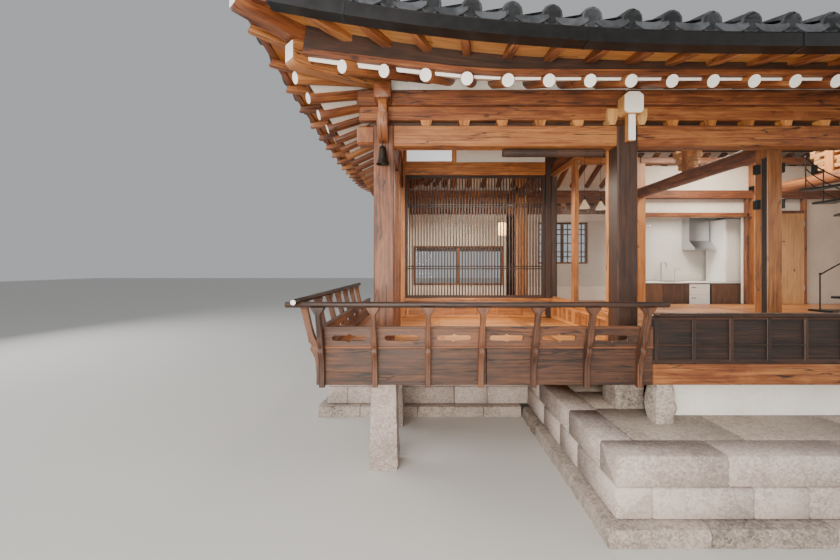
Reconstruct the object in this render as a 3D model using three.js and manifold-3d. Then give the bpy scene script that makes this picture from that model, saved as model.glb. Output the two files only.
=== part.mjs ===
// A one-storey Korean timber house (hanok) on a granite platform, with a raised railed
// pavilion room at its left end and a hip-and-gable roof. Millimetres, +Z up, the front is -Y.
// The origin is on the low ground, under the middle of the house.
import * as THREE from "three";
import { mergeVertices } from "three/addons/utils/BufferGeometryUtils.js";
import Module from "manifold-3d";

const wasm = await Module();
wasm.setup();

// Plan: four bays along X, and a porch row, a main span and a porch row along Y.
const BAY = 2400;
const BAYS = 4;
const PORCH = 1050;
const SPAN = 3000;
const END_X = (BAY * BAYS) / 2;
const INNER_Y = SPAN / 2;
const FRONT_Y = INNER_Y + PORCH;
const PAVILION_X = -END_X + BAY;
const PAVILION_DEPTH = 1970;
const PAVILION_BACK = -FRONT_Y + PAVILION_DEPTH;
const LINES = [-2, -1, 0, 1, 2].map((n) => n * BAY);
const SEAT = 0.3;

// Levels above the low ground.
const PLATFORM_TOP = 610;
const FOOTING_TOP = 140;
const SILL_LOW = 950;
const FLOOR = 1220;
const KITCHEN_FLOOR = 780;
const RAIL_Z = 1670;
const LINTEL_LOW = 3180;
const LINTEL_TOP = 3384;
const TAIL_LOW = LINTEL_LOW + 10;
const BEARER_LOW = 3446;
const PURLIN_LOW = 3585;
const PURLIN_TOP = 3735;

// Timber sections.
const POST = 200;
const LINTEL_WIDE = 160;
const PURLIN_WIDE = 180;
const BEARER_WIDE = 100;
const TAIL = 270;

// Eaves: round rafters, then square flying rafters that reach further out.
const RAFTER_OUT = 682;
const RAFTER_RADIUS = 57.5;
const RAFTER_SLOPE = 0.444;
const RAFTER_END_Z = 3535;
const RAFTER_STEP = BAY / 7;
const FLY_OUT = 964;
const FLY_SIZE = 72;
const FLY_END_Z = 3587;
const LIFT_LENGTH = 4500;
const FLY_LIFT = 356;
const RAFTER_LIFT_LENGTH = 1900;
const RAFTER_LIFT = 158;
const CORNER_OUT = 80;

// Roof: the tile bed rises in a hollow curve from the eave to the ridge.
const BED_EAVE_Z = 3785;
const BED_SLOPE = 0.34;
const BED_HOLLOW = 0.0000466;
const BED_BACK = 65;
const CEILING_RIDGE_Z = 5200;
const EAVE_X = END_X + FLY_OUT;
const EAVE_Y = FRONT_Y + FLY_OUT;
const HIP_RUN = EAVE_Y - INNER_Y;
const GABLE_X = EAVE_X - HIP_RUN;

// Pavilion deck and its railing.
const DECK_OUT = 516;
const SKIRT = 40;
const SKIRT_TOP = 1280;
const RAIL_RADIUS = 25;
const BALUSTER_STEP = 460;
const SLOT_BOARD_TOP = 1450;

const wood = new THREE.MeshStandardMaterial({ color: 0x8a5a34, roughness: 0.6 });
const oldWood = new THREE.MeshStandardMaterial({ color: 0x4a2f1f, roughness: 0.7 });
const goldWood = new THREE.MeshStandardMaterial({ color: 0xb5743a, roughness: 0.5 });
const doorWood = new THREE.MeshStandardMaterial({ color: 0xb8864e, roughness: 0.5 });
const granite = new THREE.MeshStandardMaterial({ color: 0xb3a599, roughness: 0.9 });
const plaster = new THREE.MeshStandardMaterial({ color: 0xe9e4da, roughness: 0.9 });
const tile = new THREE.MeshStandardMaterial({ color: 0x34363a, roughness: 0.8 });
const darkMetal = new THREE.MeshStandardMaterial({ color: 0x26272a, roughness: 0.45, metalness: 0.6 });
const glass = new THREE.MeshStandardMaterial({ color: 0xcfdde2, roughness: 0.05, opacity: 0.3, transparent: true });
const enamel = new THREE.MeshStandardMaterial({ color: 0xf0f0ee, roughness: 0.35 });
const steel = new THREE.MeshStandardMaterial({ color: 0xb8bbbf, roughness: 0.3, metalness: 1 });
const cane = new THREE.MeshStandardMaterial({ color: 0x3a281c, roughness: 0.8 });

const house = new THREE.Group();

// A closed three.js geometry as a solid: shared vertices merged, collapsed faces dropped.
function solid(geometry) {
  const bare = geometry.index ? geometry.clone() : geometry;
  bare.deleteAttribute("normal");
  bare.deleteAttribute("uv");
  const merged = mergeVertices(bare, 1e-3);
  const index = merged.index.array;
  const faces = [];
  for (let i = 0; i < index.length; i += 3) {
    const [a, b, c] = [index[i], index[i + 1], index[i + 2]];
    if (a !== b && b !== c && a !== c) faces.push(a, b, c);
  }
  return new wasm.Manifold(
    new wasm.Mesh({
      numProp: 3,
      vertProperties: merged.attributes.position.array,
      triVerts: new Uint32Array(faces),
    }),
  );
}

// One solid from a list of solids.
function join(parts) {
  return parts.reduce((sum, part) => sum.add(part));
}

function cut(body, tools) {
  return tools.reduce((left, tool) => left.subtract(tool), body);
}

// A straight block between two opposite corners.
function block(x0, x1, y0, y1, z0, z1) {
  const shape = new THREE.BoxGeometry(x1 - x0, y1 - y0, z1 - z0);
  shape.translate((x0 + x1) / 2, (y0 + y1) / 2, (z0 + z1) / 2);
  return solid(shape);
}

// An outline in the XZ plane, pushed along Y.
function slabXZ(points, y0, y1) {
  const outline = new THREE.Shape(points.map(([x, z]) => new THREE.Vector2(x, z)));
  const shape = new THREE.ExtrudeGeometry(outline, { depth: y1 - y0, bevelEnabled: false });
  shape.rotateX(Math.PI / 2);
  shape.translate(0, y1, 0);
  return solid(shape);
}

// An outline in the YZ plane, pushed along X.
function slabYZ(points, x0, x1) {
  const outline = new THREE.Shape(points.map(([y, z]) => new THREE.Vector2(y, z)));
  const shape = new THREE.ExtrudeGeometry(outline, { depth: x1 - x0, bevelEnabled: false });
  shape.applyMatrix4(new THREE.Matrix4().set(0, 0, 1, x0, 1, 0, 0, 0, 0, 1, 0, 0, 0, 0, 0, 1));
  return solid(shape);
}

// A round bar between two points.
function bar(from, to, radius, sides = 8) {
  const a = new THREE.Vector3(...from);
  const b = new THREE.Vector3(...to);
  const shape = new THREE.CylinderGeometry(radius, radius, a.distanceTo(b), sides);
  shape.rotateX(Math.PI / 2);
  const place = new THREE.Object3D();
  place.position.copy(a).add(b).multiplyScalar(0.5);
  place.up.set(0, 0, 1);
  place.lookAt(b);
  place.updateMatrix();
  shape.applyMatrix4(place.matrix);
  return solid(shape);
}

// A closed sheet with thickness, from rows of points with a top and a bottom height.
function sheet(rows) {
  const down = rows.length;
  const across = rows[0].length;
  const points = [];
  for (const level of ["top", "low"])
    for (const row of rows) for (const p of row) points.push(p.x, p.y, p[level]);
  const at = (i, j, lower) => (lower ? down * across : 0) + i * across + j;
  const faces = [];
  const quad = (a, b, c, d) => faces.push(a, b, c, a, c, d);
  for (let i = 0; i + 1 < down; i++)
    for (let j = 0; j + 1 < across; j++) {
      quad(at(i, j, 0), at(i, j + 1, 0), at(i + 1, j + 1, 0), at(i + 1, j, 0));
      quad(at(i, j, 1), at(i + 1, j, 1), at(i + 1, j + 1, 1), at(i, j + 1, 1));
    }
  for (let j = 0; j + 1 < across; j++) {
    quad(at(0, j, 1), at(0, j + 1, 1), at(0, j + 1, 0), at(0, j, 0));
    quad(at(down - 1, j, 0), at(down - 1, j + 1, 0), at(down - 1, j + 1, 1), at(down - 1, j, 1));
  }
  for (let i = 0; i + 1 < down; i++) {
    quad(at(i, 0, 0), at(i + 1, 0, 0), at(i + 1, 0, 1), at(i, 0, 1));
    quad(at(i, across - 1, 1), at(i + 1, across - 1, 1), at(i + 1, across - 1, 0), at(i, across - 1, 0));
  }
  const shape = new THREE.BufferGeometry();
  shape.setAttribute("position", new THREE.Float32BufferAttribute(points, 3));
  shape.setIndex(faces);
  return solid(shape);
}

// A solid's vertices and faces as a three.js geometry.
function geometryOf(body) {
  const made = body.getMesh();
  const shape = new THREE.BufferGeometry();
  shape.setAttribute("position", new THREE.BufferAttribute(made.vertProperties, 3));
  shape.setIndex(new THREE.BufferAttribute(made.triVerts, 1));
  return shape;
}

// A solid moved by a matrix; a mirroring matrix turns its faces round again.
function placed(body, matrix) {
  const shape = geometryOf(body);
  shape.applyMatrix4(matrix);
  if (matrix.determinant() < 0) shape.setIndex(Array.from(shape.index.array).reverse());
  return solid(shape);
}

const mirrorX = (body) => placed(body, new THREE.Matrix4().makeScale(-1, 1, 1));
const mirrorY = (body) => placed(body, new THREE.Matrix4().makeScale(1, -1, 1));
const shifted = (body, x, y, z) => placed(body, new THREE.Matrix4().makeTranslation(x, y, z));
const turned = (body, angle, x, y) =>
  placed(body, new THREE.Matrix4().makeRotationZ(angle).setPosition(x, y, 0));

function add(name, body, material) {
  const shape = geometryOf(body);
  shape.computeVertexNormals();
  const piece = new THREE.Mesh(shape, material.clone());
  piece.name = name;
  house.add(piece);
}

function steps(from, to, count) {
  return Array.from({ length: count + 1 }, (_, i) => from + ((to - from) * i) / count);
}

// Granite platform: a coursed body on a rough footing, open under the pavilion's front.
const PLATFORM_X = 5700;
const PLATFORM_FRONT = -3645;
const PLATFORM_BACK = 3645;
const FOOTING_OUT = 100;
const NOTCH_X = -3012;
const NOTCH_Y = -1244;

function platform() {
  const left = -PLATFORM_X;
  const body = cut(block(left, PLATFORM_X, PLATFORM_FRONT, PLATFORM_BACK, 0, PLATFORM_TOP), [
    block(left - 10, NOTCH_X, PLATFORM_FRONT - 10, NOTCH_Y, -10, PLATFORM_TOP + 10),
  ]);
  const footing = cut(
    block(left - FOOTING_OUT, PLATFORM_X + FOOTING_OUT, PLATFORM_FRONT - FOOTING_OUT,
      PLATFORM_BACK + FOOTING_OUT, 0, FOOTING_TOP),
    [block(left - FOOTING_OUT - 10, NOTCH_X - FOOTING_OUT, PLATFORM_FRONT - FOOTING_OUT - 10,
      NOTCH_Y - FOOTING_OUT, -10, FOOTING_TOP + 10)],
  );
  const stones = [];
  for (const x of LINES)
    for (const y of [-FRONT_Y, -INNER_Y, INNER_Y, FRONT_Y])
      if (y > NOTCH_Y || x > -END_X) stones.push(footStone(x, y, 150));
  for (const x of LINES.slice(1)) stones.push(footStone(x + 120, -FRONT_Y - 420, 94));
  return join([body, footing, ...stones]);
}

// A squared foundation stone, a little wider at its foot.
function footStone(x, y, half) {
  const stone = new THREE.CylinderGeometry(half * 1.35, half * 1.5, SILL_LOW - PLATFORM_TOP + 20, 4, 1);
  stone.rotateY(Math.PI / 4);
  stone.rotateX(Math.PI / 2);
  stone.translate(x, y, (SILL_LOW + PLATFORM_TOP - 20) / 2);
  return solid(stone);
}

// Room left in a wall or a floor for the foundation stone at a post.
function stoneRoom(x, y) {
  return block(x - 161, x + 161, y - 161, y + 161, 0, SILL_LOW + SEAT);
}

// The two outer posts of the pavilion stand on tall stones from the low ground.
function pillarStone(x, y) {
  const stone = new THREE.CylinderGeometry(175, 215, SILL_LOW, 4, 1);
  stone.rotateY(Math.PI / 4);
  stone.rotateX(Math.PI / 2);
  stone.translate(x, y, SILL_LOW / 2);
  return solid(stone);
}

function post(x, y, top, half = POST / 2) {
  return block(x - half, x + half, y - half, y + half, SILL_LOW, top);
}

// Front or back row: five posts, the lintel through their heads and its tails past the corners.
function longFrame() {
  const y = -FRONT_Y;
  const reach = END_X + TAIL;
  const parts = LINES.map((x) => post(x, y, LINTEL_TOP));
  parts.push(block(-reach, reach, y - LINTEL_WIDE / 2, y + LINTEL_WIDE / 2, LINTEL_LOW, LINTEL_TOP));
  for (const x of [-END_X, END_X]) {
    parts.push(block(x - 50, x + 50, y - TAIL, y, TAIL_LOW, BEARER_LOW));
    parts.push(block(x - 50, x + 50, y, y + POST / 2, LINTEL_TOP, BEARER_LOW));
  }
  return join(parts);
}

// Side row between the corner posts: two posts and the lintel pieces.
function sideFrame() {
  const x = -END_X;
  const half = LINTEL_WIDE / 2;
  const near = FRONT_Y - POST / 2;
  return join([
    post(x, -INNER_Y, LINTEL_TOP),
    post(x, INNER_Y, LINTEL_TOP),
    block(x - half, x + half, -near, near, LINTEL_LOW, LINTEL_TOP),
  ]);
}

// A bearing block between lintel and bearer, wider at the top.
function bearingBlock(u, v, alongX) {
  const outline = [[-42, LINTEL_TOP], [42, LINTEL_TOP], [58, BEARER_LOW], [-58, BEARER_LOW]];
  const moved = outline.map(([a, z]) => [a + (alongX ? u : v), z]);
  const half = BEARER_WIDE / 2;
  return alongX ? slabXZ(moved, v - half, v + half) : slabYZ(moved, u - half, u + half);
}

// The first block of the end bay and of the inner bay, counted from the post on its left.
const BLOCK_FIRST = [419, 472];
const BLOCK_STEP = 378;

// Square purlin on its bearer and blocks; the ends cross and run past the corner.
function longPurlin() {
  const y = -FRONT_Y;
  const reach = END_X + TAIL;
  const parts = [
    block(-reach, reach, y - PURLIN_WIDE / 2, y + PURLIN_WIDE / 2, PURLIN_LOW, PURLIN_TOP),
    block(-reach + 20, reach - 20, y - BEARER_WIDE / 2, y + BEARER_WIDE / 2, BEARER_LOW, PURLIN_LOW + 5),
  ];
  for (const x of [-END_X, END_X]) {
    parts.push(block(x - 80, x + 80, y - TAIL, y, PURLIN_LOW, PURLIN_TOP));
    parts.push(block(x - 35, x + 35, y - TAIL + 30, y, BEARER_LOW + SEAT, PURLIN_LOW + 5));
  }
  for (let bay = 0; bay < 2; bay++)
    for (let i = 0; i < 5; i++) {
      const x = END_X - bay * BAY - BLOCK_FIRST[bay] - i * BLOCK_STEP;
      parts.push(bearingBlock(-x, y, true), bearingBlock(x, y, true));
    }
  const heads = LINES.slice(1, 4).map((x) =>
    block(x - HEAD_WIDE / 2 - SEAT, x + HEAD_WIDE / 2 + SEAT, y - 400, y + 400, LINTEL_TOP, PURLIN_LOW));
  return cut(join(parts), heads);
}

function sidePurlin() {
  const x = -END_X;
  const near = FRONT_Y - PURLIN_WIDE / 2;
  const parts = [
    block(x - PURLIN_WIDE / 2, x + PURLIN_WIDE / 2, -near, near, PURLIN_LOW, PURLIN_TOP),
    block(x - BEARER_WIDE / 2, x + BEARER_WIDE / 2, -near, near, BEARER_LOW, PURLIN_LOW + 5),
  ];
  for (const y of [-2020, -1000, -500, 0, 500, 1000, 2020]) parts.push(bearingBlock(x, y, false));
  return join(parts);
}

// Crossbeam on an inner column line: two inner posts, the log beam and the eave beams whose
// white heads come through the front and back rows, each on a narrow bracket.
const HEAD_WIDE = 190;
const HEAD_LOW = 3455;
const HEAD_TOP = 3665;
const HEAD_OUT = 215;
const LOG_Z = 3480;
const LOG_RADIUS = 110;

function crossbeam(x) {
  const y0 = -FRONT_Y;
  const half = HEAD_WIDE / 2;
  const outline = [[-half, HEAD_LOW + 25], [-half + 25, HEAD_LOW], [half - 25, HEAD_LOW], [half, HEAD_LOW + 25],
    [half, HEAD_TOP - 37], [half - 45, HEAD_TOP], [-half + 45, HEAD_TOP], [-half, HEAD_TOP - 37]];
  const head = slabXZ(outline.map(([a, z]) => [x + a, z]), y0 - HEAD_OUT, -INNER_Y);
  const notch = block(x - 200, x + 200, y0 - PURLIN_WIDE / 2 - SEAT, y0 + PURLIN_WIDE / 2 + SEAT,
    PURLIN_LOW - SEAT, HEAD_TOP + 10);
  const bracket = block(x - 34, x + 34, y0 - HEAD_OUT + 35, y0 - POST / 2 - SEAT, LINTEL_LOW + 25, HEAD_LOW);
  const seat = block(x - 60, x + 60, y0 - POST / 2, y0 + POST / 2, LINTEL_TOP, HEAD_LOW);
  const eaveBeam = join([cut(head, [notch]), bracket, seat]);
  const log = bar([x, -INNER_Y, LOG_Z], [x, INNER_Y, LOG_Z], LOG_RADIUS, 12);
  const parts = [eaveBeam, mirrorY(eaveBeam), log];
  for (const y of [-INNER_Y, INNER_Y]) {
    const low = x === PAVILION_X && y < 0 ? LOG_Z : SILL_LOW;
    parts.push(block(x - 95, x + 95, y - 95, y + 95, low, CROSS_POST_TOP));
  }
  return join(parts);
}

// Inner purlins and the ridge purlin, held by short posts over the log beams.
const INNER_PURLIN_Z = 4145;
const CROSS_POST_TOP = INNER_PURLIN_Z;
const RIDGE_PURLIN_Z = 5060;
const INNER_REACH = GABLE_X - 85;

function innerPurlin() {
  return block(-INNER_REACH, INNER_REACH, -INNER_Y - 75, -INNER_Y + 75, INNER_PURLIN_Z - 60, INNER_PURLIN_Z + 60);
}

function ridgePurlin() {
  const parts = [block(-INNER_REACH, INNER_REACH, -75, 75, RIDGE_PURLIN_Z - 75, RIDGE_PURLIN_Z + 60)];
  for (const x of LINES.slice(1, 4))
    parts.push(block(x - 70, x + 70, -70, 70, LOG_Z, RIDGE_PURLIN_Z));
  return join(parts);
}

// How far the eave has risen at a distance from the corner tip: 1 at the tip, 0 past the lift.
function lift(distance) {
  return Math.max(0, 1 - distance / LIFT_LENGTH) ** 2.8;
}

// The end of a round rafter rises on a shorter curve of its own.
function rafterEndZ(distance) {
  return RAFTER_END_Z + RAFTER_LIFT * Math.max(0, 1 - distance / RAFTER_LIFT_LENGTH) ** 1.15;
}

function bedTop(d) {
  return BED_EAVE_Z + BED_SLOPE * d + BED_HOLLOW * d * d;
}

// Underside of the bed: on the flying rafters, then on the round rafters, then up to the ridge.
function bedLow(d) {
  const marks = [[0, FLY_END_Z + FLY_SIZE + 4], [FLY_OUT - RAFTER_OUT, 3748],
    [HIP_RUN, 4365.7], [EAVE_Y, CEILING_RIDGE_Z]];
  const i = marks.findIndex(([edge]) => d <= edge);
  if (i <= 0) return marks[0][1];
  const [[d0, z0], [d1, z1]] = [marks[i - 1], marks[i]];
  return z0 + ((z1 - z0) * (d - d0)) / (d1 - d0);
}

// One point of the roof: d in from the eave, c its share of the corner lift.
function roofPoint(x, y, d, c) {
  const fade = Math.max(0, 1 - d / HIP_RUN);
  return { x, y, top: bedTop(d) + FLY_LIFT * c * fade ** 1.5, low: bedLow(d) + FLY_LIFT * c * fade };
}

const RUNS = [BED_BACK, 282, 800, 1350, HIP_RUN];

function mainRoof() {
  const columns = steps(-GABLE_X, GABLE_X, 16);
  const rows = [];
  const row = (d, side) =>
    columns.map((x) => {
      const c = lift(EAVE_X - Math.abs(x));
      const y = side * (EAVE_Y - d + CORNER_OUT * c * Math.max(0, 1 - d / HIP_RUN));
      return roofPoint(x, y, d, c);
    });
  const inner = [2500, 3000];
  for (const d of [...RUNS, ...inner]) rows.push(row(d, -1));
  rows.push(row(EAVE_Y, 1));
  for (const d of [...RUNS, ...inner].reverse()) rows.push(row(d, 1));
  return sheet(rows);
}

// The hipped end: rings round the corner from the front slope to the back slope.
function hipRoof() {
  return sheet(RUNS.map((d) => {
    const fade = Math.max(0, 1 - d / HIP_RUN);
    const ring = [];
    const edge = EAVE_X - d;
    for (const t of steps(0, 1, 5)) {
      const x = GABLE_X + (edge - GABLE_X) * t;
      const c = lift((1 - t) * HIP_RUN);
      ring.push([x + CORNER_OUT * c * fade * t, -(EAVE_Y - d) - CORNER_OUT * c * fade, c]);
    }
    for (const t of steps(-1, 1, 10).slice(1, -1)) {
      const c = lift(EAVE_Y * (1 - Math.abs(t)));
      ring.push([edge + CORNER_OUT * c * fade, t * (EAVE_Y - d), c]);
    }
    const front = ring.slice(0, 6).reverse();
    for (const [x, y, c] of front) ring.push([x, -y, c]);
    return ring.map(([x, y, c]) => roofPoint(x, y, d, c));
  }));
}

// Rays of the eaves: where each rafter starts, where it ends and where its flying rafter ends.
// Past the gable line they fan out from the crossing of the inner purlins.
const FIRST_X = -END_X + 63;
const FIRST_Y = -FRONT_Y - 157;
const RAFTER_LINE = FLY_OUT - RAFTER_OUT;

function fan(along, run, halfEave, gable, edge) {
  const limit = halfEave - RAFTER_LINE - 2 * RAFTER_RADIUS;
  if (Math.abs(along) > limit) return null;
  const start = Math.sign(along) * Math.min(Math.abs(along), gable);
  const c = lift(halfEave - Math.abs(along));
  const end = edge - RAFTER_LINE + CORNER_OUT * c;
  const grow = (edge + CORNER_OUT * c - run) / (end - run);
  const tipAlong = start + (along - start) * grow;
  const tipC = lift(halfEave - Math.abs(tipAlong));
  const endZ = rafterEndZ(halfEave - Math.abs(along));
  return { start, along, tipAlong, end, endZ, tip: edge + CORNER_OUT * tipC, c, tipC };
}

function frontRays() {
  const found = [];
  for (let k = -2; k < 31; k++) {
    const ray = fan(FIRST_X + k * RAFTER_STEP, INNER_Y, EAVE_X, GABLE_X, EAVE_Y);
    if (ray)
      found.push({
        from: [ray.start, -INNER_Y], to: [ray.along, -ray.end], tip: [ray.tipAlong, -ray.tip], c: ray.c,
        tipC: ray.tipC, endZ: ray.endZ, fan: Math.abs(ray.along) > GABLE_X,
      });
  }
  return found;
}

function leftRays() {
  const found = [];
  for (let k = -1; k < 18; k++) {
    const ray = fan(FIRST_Y + k * RAFTER_STEP, GABLE_X, EAVE_Y, INNER_Y, EAVE_X);
    if (ray)
      found.push({
        from: [-GABLE_X, ray.start], to: [-ray.end, ray.along], tip: [-ray.tip, ray.tipAlong], c: ray.c,
        tipC: ray.tipC, endZ: ray.endZ, fan: Math.abs(ray.along) > INNER_Y,
      });
  }
  return found;
}

// The edge of the eave on the front, corner to corner, d inside the line of the tips.
function frontEdge(d) {
  const fade = Math.max(0, 1 - d / HIP_RUN);
  const half = steps(0, 1, 5).map((t) => {
    const c = lift((1 - t) * HIP_RUN);
    return [GABLE_X + (EAVE_X - d - GABLE_X) * t + CORNER_OUT * c * fade * t, c];
  });
  const middle = steps(-GABLE_X, GABLE_X, 16).slice(1, -1).map((x) => [x, lift(EAVE_X - Math.abs(x))]);
  const left = half.map(([x, c]) => [-x, c]).reverse();
  return [...left, ...middle, ...half].map(([x, c]) => ({ x, y: -(EAVE_Y - d) - CORNER_OUT * c * fade, c, fade }));
}

function leftEdge(d) {
  const fade = Math.max(0, 1 - d / HIP_RUN);
  return steps(-1, 1, 10).map((t) => {
    const c = lift(EAVE_Y * (1 - Math.abs(t)));
    const y = t * (EAVE_Y - d + (Math.abs(t) === 1 ? CORNER_OUT * fade : 0));
    return { x: -(EAVE_X - d) - CORNER_OUT * c * fade, y, c, fade };
  }).reverse();
}

// A board along the eave between two lines, with its faces set against the underside of the bed.
function eaveBoard(edge, out, back, low, top) {
  const rows = [out, back].map((d) =>
    edge(d).map(({ x, y, c, fade }) => {
      const under = bedLow(d) + FLY_LIFT * c * fade;
      return { x, y, low: low(under, c), top: top(under, c) };
    }));
  return sheet(rows);
}

// Everything that meets a hip rafter stops at its side faces.
const HIP_HALF = 70;

function hipCut(x, y) {
  const tool = new THREE.BoxGeometry(2 * HIP_HALF + 8, 3600, 1700);
  tool.rotateZ((-Math.sign(x) * Math.sign(y) * Math.PI) / 4);
  tool.translate(x * (END_X + 100), y * (FRONT_Y + 100), 3900);
  return solid(tool);
}

// Round rafters, tied by a strip behind their inner ends; the fanned ones are shorter and tied
// by a strip of their own.
const RAFTER_INNER_Z = RAFTER_END_Z + RAFTER_SLOPE * (FRONT_Y + RAFTER_OUT - INNER_Y);
const FAN_START = 800;

function rafters(rays, ties, corners) {
  const round = rays.map((ray) => {
    const run = Math.max(Math.abs(ray.to[0] - ray.from[0]), Math.abs(ray.to[1] - ray.from[1]));
    const t = ray.fan ? FAN_START / run : 0;
    const from = new THREE.Vector3(...ray.from, RAFTER_INNER_Z);
    const to = new THREE.Vector3(...ray.to, ray.endZ);
    return bar(from.clone().lerp(to, t).toArray(), to.toArray(), RAFTER_RADIUS, 6);
  });
  return cut(join([...round, ...ties]), corners.map(([x, y]) => hipCut(x, y)));
}

// The strips that tie the rafters of the front.
function rafterTies(run, half, reach) {
  const strip = block(-half, half, -run - 30, -run + 30, RAFTER_INNER_Z - 64, RAFTER_INNER_Z + 35);
  const fan = block(half - 310, reach, -run - FAN_START - 25, -run - FAN_START + 25, 3900, 4076);
  return [strip, fan, mirrorX(fan)];
}

const FLY_GAP = 11;
const FLY_LENGTH = 560;

function flyingRafters(rays, edge, corners) {
  const square = rays.map((ray) => {
    const [dx, dy] = [ray.tip[0] - ray.to[0], ray.tip[1] - ray.to[1]];
    const run = Math.hypot(dx, dy);
    const z0 = bedLow(0) + FLY_LIFT * ray.tipC - FLY_GAP;
    const z1 = bedLow(RAFTER_LINE) + FLY_LIFT * ray.c * (1 - RAFTER_LINE / HIP_RUN) - FLY_GAP;
    const slope = (z1 - z0) / run;
    const back = z0 + slope * FLY_LENGTH;
    const set = 3 + ((FLY_SIZE / 2) * Math.min(Math.abs(dx), Math.abs(dy))) / run;
    const shape = slabYZ([[-set, z0 - FLY_SIZE], [-set, z0], [-FLY_LENGTH, back], [-FLY_LENGTH, back - FLY_SIZE]],
      -FLY_SIZE / 2, FLY_SIZE / 2);
    return turned(shape, Math.atan2(dy, dx) - Math.PI / 2, ray.tip[0], ray.tip[1]);
  });
  const strip = eaveBoard(edge, -4, BED_BACK - SEAT, (under) => under - FLY_GAP - 12, (under) => under + 78);
  return cut(join([...square, strip]), corners.map(([x, y]) => hipCut(x, y)));
}

// Hip rafter with the flying hip rafter on its back, on the diagonal of a corner.
function hipRafter() {
  const root = Math.SQRT2;
  const low = [[-1040, 3976], [720, 3626], [720, 3850], [-1040, 4204]];
  const high = [[1035, 3925], [1035, 4005.3], [700, 4017.3], [-300, 4100], [-300, 4050], [700, 3850]];
  const side = (list, half) => slabYZ(list.map(([o, z]) => [-o * root, z]), -half, half);
  const both = join([side(low, HIP_HALF), side(high, HIP_HALF - 8)]);
  return turned(both, -Math.PI / 4, -END_X, -FRONT_Y);
}

// A metal gutter, open at the top, under the edge of the tiles.
function gutter() {
  const wall = 3;
  const strip = (out, back, low, top) =>
    sheet([out, back].map((d) => frontEdge(-d).slice(1, -1).map(({ x, y, c }) => {
      const z = FLY_END_Z + 14 + FLY_LIFT * c;
      return { x, y, low: z + low, top: z + top };
    })));
  return strip(120, 4 + SEAT, 0, 100).subtract(strip(120 - wall, 4 + SEAT + wall, wall, 120));
}

// Tiled ridges: the main ridge, the four that run down the gables, and on down the hips.
const RIDGE_HIGH = 330;
const RIDGE_HALF = 110;

function ridgeRun(path, half, high, deep) {
  const rows = [];
  for (let i = 0; i < path.length; i++) {
    const before = path[Math.max(0, i - 1)];
    const after = path[Math.min(path.length - 1, i + 1)];
    const run = new THREE.Vector2(after.x - before.x, after.y - before.y).normalize();
    rows.push([-half, half].map((side) => ({
      x: path[i].x - run.y * side,
      y: path[i].y + run.x * side,
      low: path[i].z - deep,
      top: path[i].z + high * (path[i].rise ?? 1),
    })).reverse());
  }
  return sheet(rows);
}

function ridges(bed) {
  const reach = GABLE_X + 120;
  const main = ridgeRun(steps(-reach, reach, 16).map((x) => ({
    x, y: 0, z: bedTop(EAVE_Y), rise: 1 + 0.42 * (Math.abs(x) / reach) ** 3,
  })), RIDGE_HALF, RIDGE_HIGH, 130);
  const downX = GABLE_X - 95;
  const down = steps(0, 1, 5).map((t) => {
    const y = 40 + (INNER_Y + 30) * t;
    return { x: -downX, y: -y, z: bedTop(EAVE_Y - y) };
  });
  const along = steps(0, 1, 7).map((t) => {
    const d = HIP_RUN * (1 - t) + (BED_BACK + 75) * t;
    const fade = 1 - d / HIP_RUN;
    const out = CORNER_OUT * fade;
    return { x: -(EAVE_X - d + out), y: -(EAVE_Y - d + out), z: bedTop(d) + FLY_LIFT * fade ** 1.5, rise: 0.8 };
  });
  const corner = join([ridgeRun(down, 85, 210, 70), ridgeRun(along, 85, 210, 60)]);
  const all = [main];
  for (const one of [corner, mirrorX(corner)]) all.push(one, mirrorY(one));
  return shifted(cut(join(all), [bed]), 0, 0, SEAT);
}

// Gable wall behind the edge of the main slopes, and the boards over the ends of the bed.
const GABLE_LOW = 4360;

function gableWall() {
  const near = INNER_Y - 75 - SEAT;
  const shoulder = bedLow(EAVE_Y - near) - SEAT;
  const outline = [[-near, GABLE_LOW], [near, GABLE_LOW], [near, shoulder], [0, CEILING_RIDGE_Z - SEAT], [-near, shoulder]];
  return slabYZ(outline, -GABLE_X + SEAT, -GABLE_X + 80);
}

function gableBoards() {
  const line = steps(-1330, 1330, 12);
  const top = line.map((y) => [y, bedTop(EAVE_Y - Math.abs(y)) - 25]);
  const low = line.map((y, i) => [y, Math.max(top[i][1] - 330, bedTop(HIP_RUN) + 6)]).reverse();
  const boards = slabYZ([...top, ...low], -GABLE_X - 45, -GABLE_X - SEAT);
  const ridge = block(-GABLE_X - 200, -GABLE_X, -RIDGE_HALF - 1, RIDGE_HALF + 1, bedTop(EAVE_Y) - 131, 6100);
  return cut(boards, [ridge]);
}

// Pavilion floor: boards on joists and edge beams, round the posts.
const DECK_LEFT = -END_X - DECK_OUT;
const DECK_FRONT = -FRONT_Y - DECK_OUT;
const DECK_BACK = 20;
const FLOOR_THICK = 60;

function postHoles(list) {
  return list.map(([x, y, half]) => block(x - half, x + half, y - half, y + half, 0, 4000));
}

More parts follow.
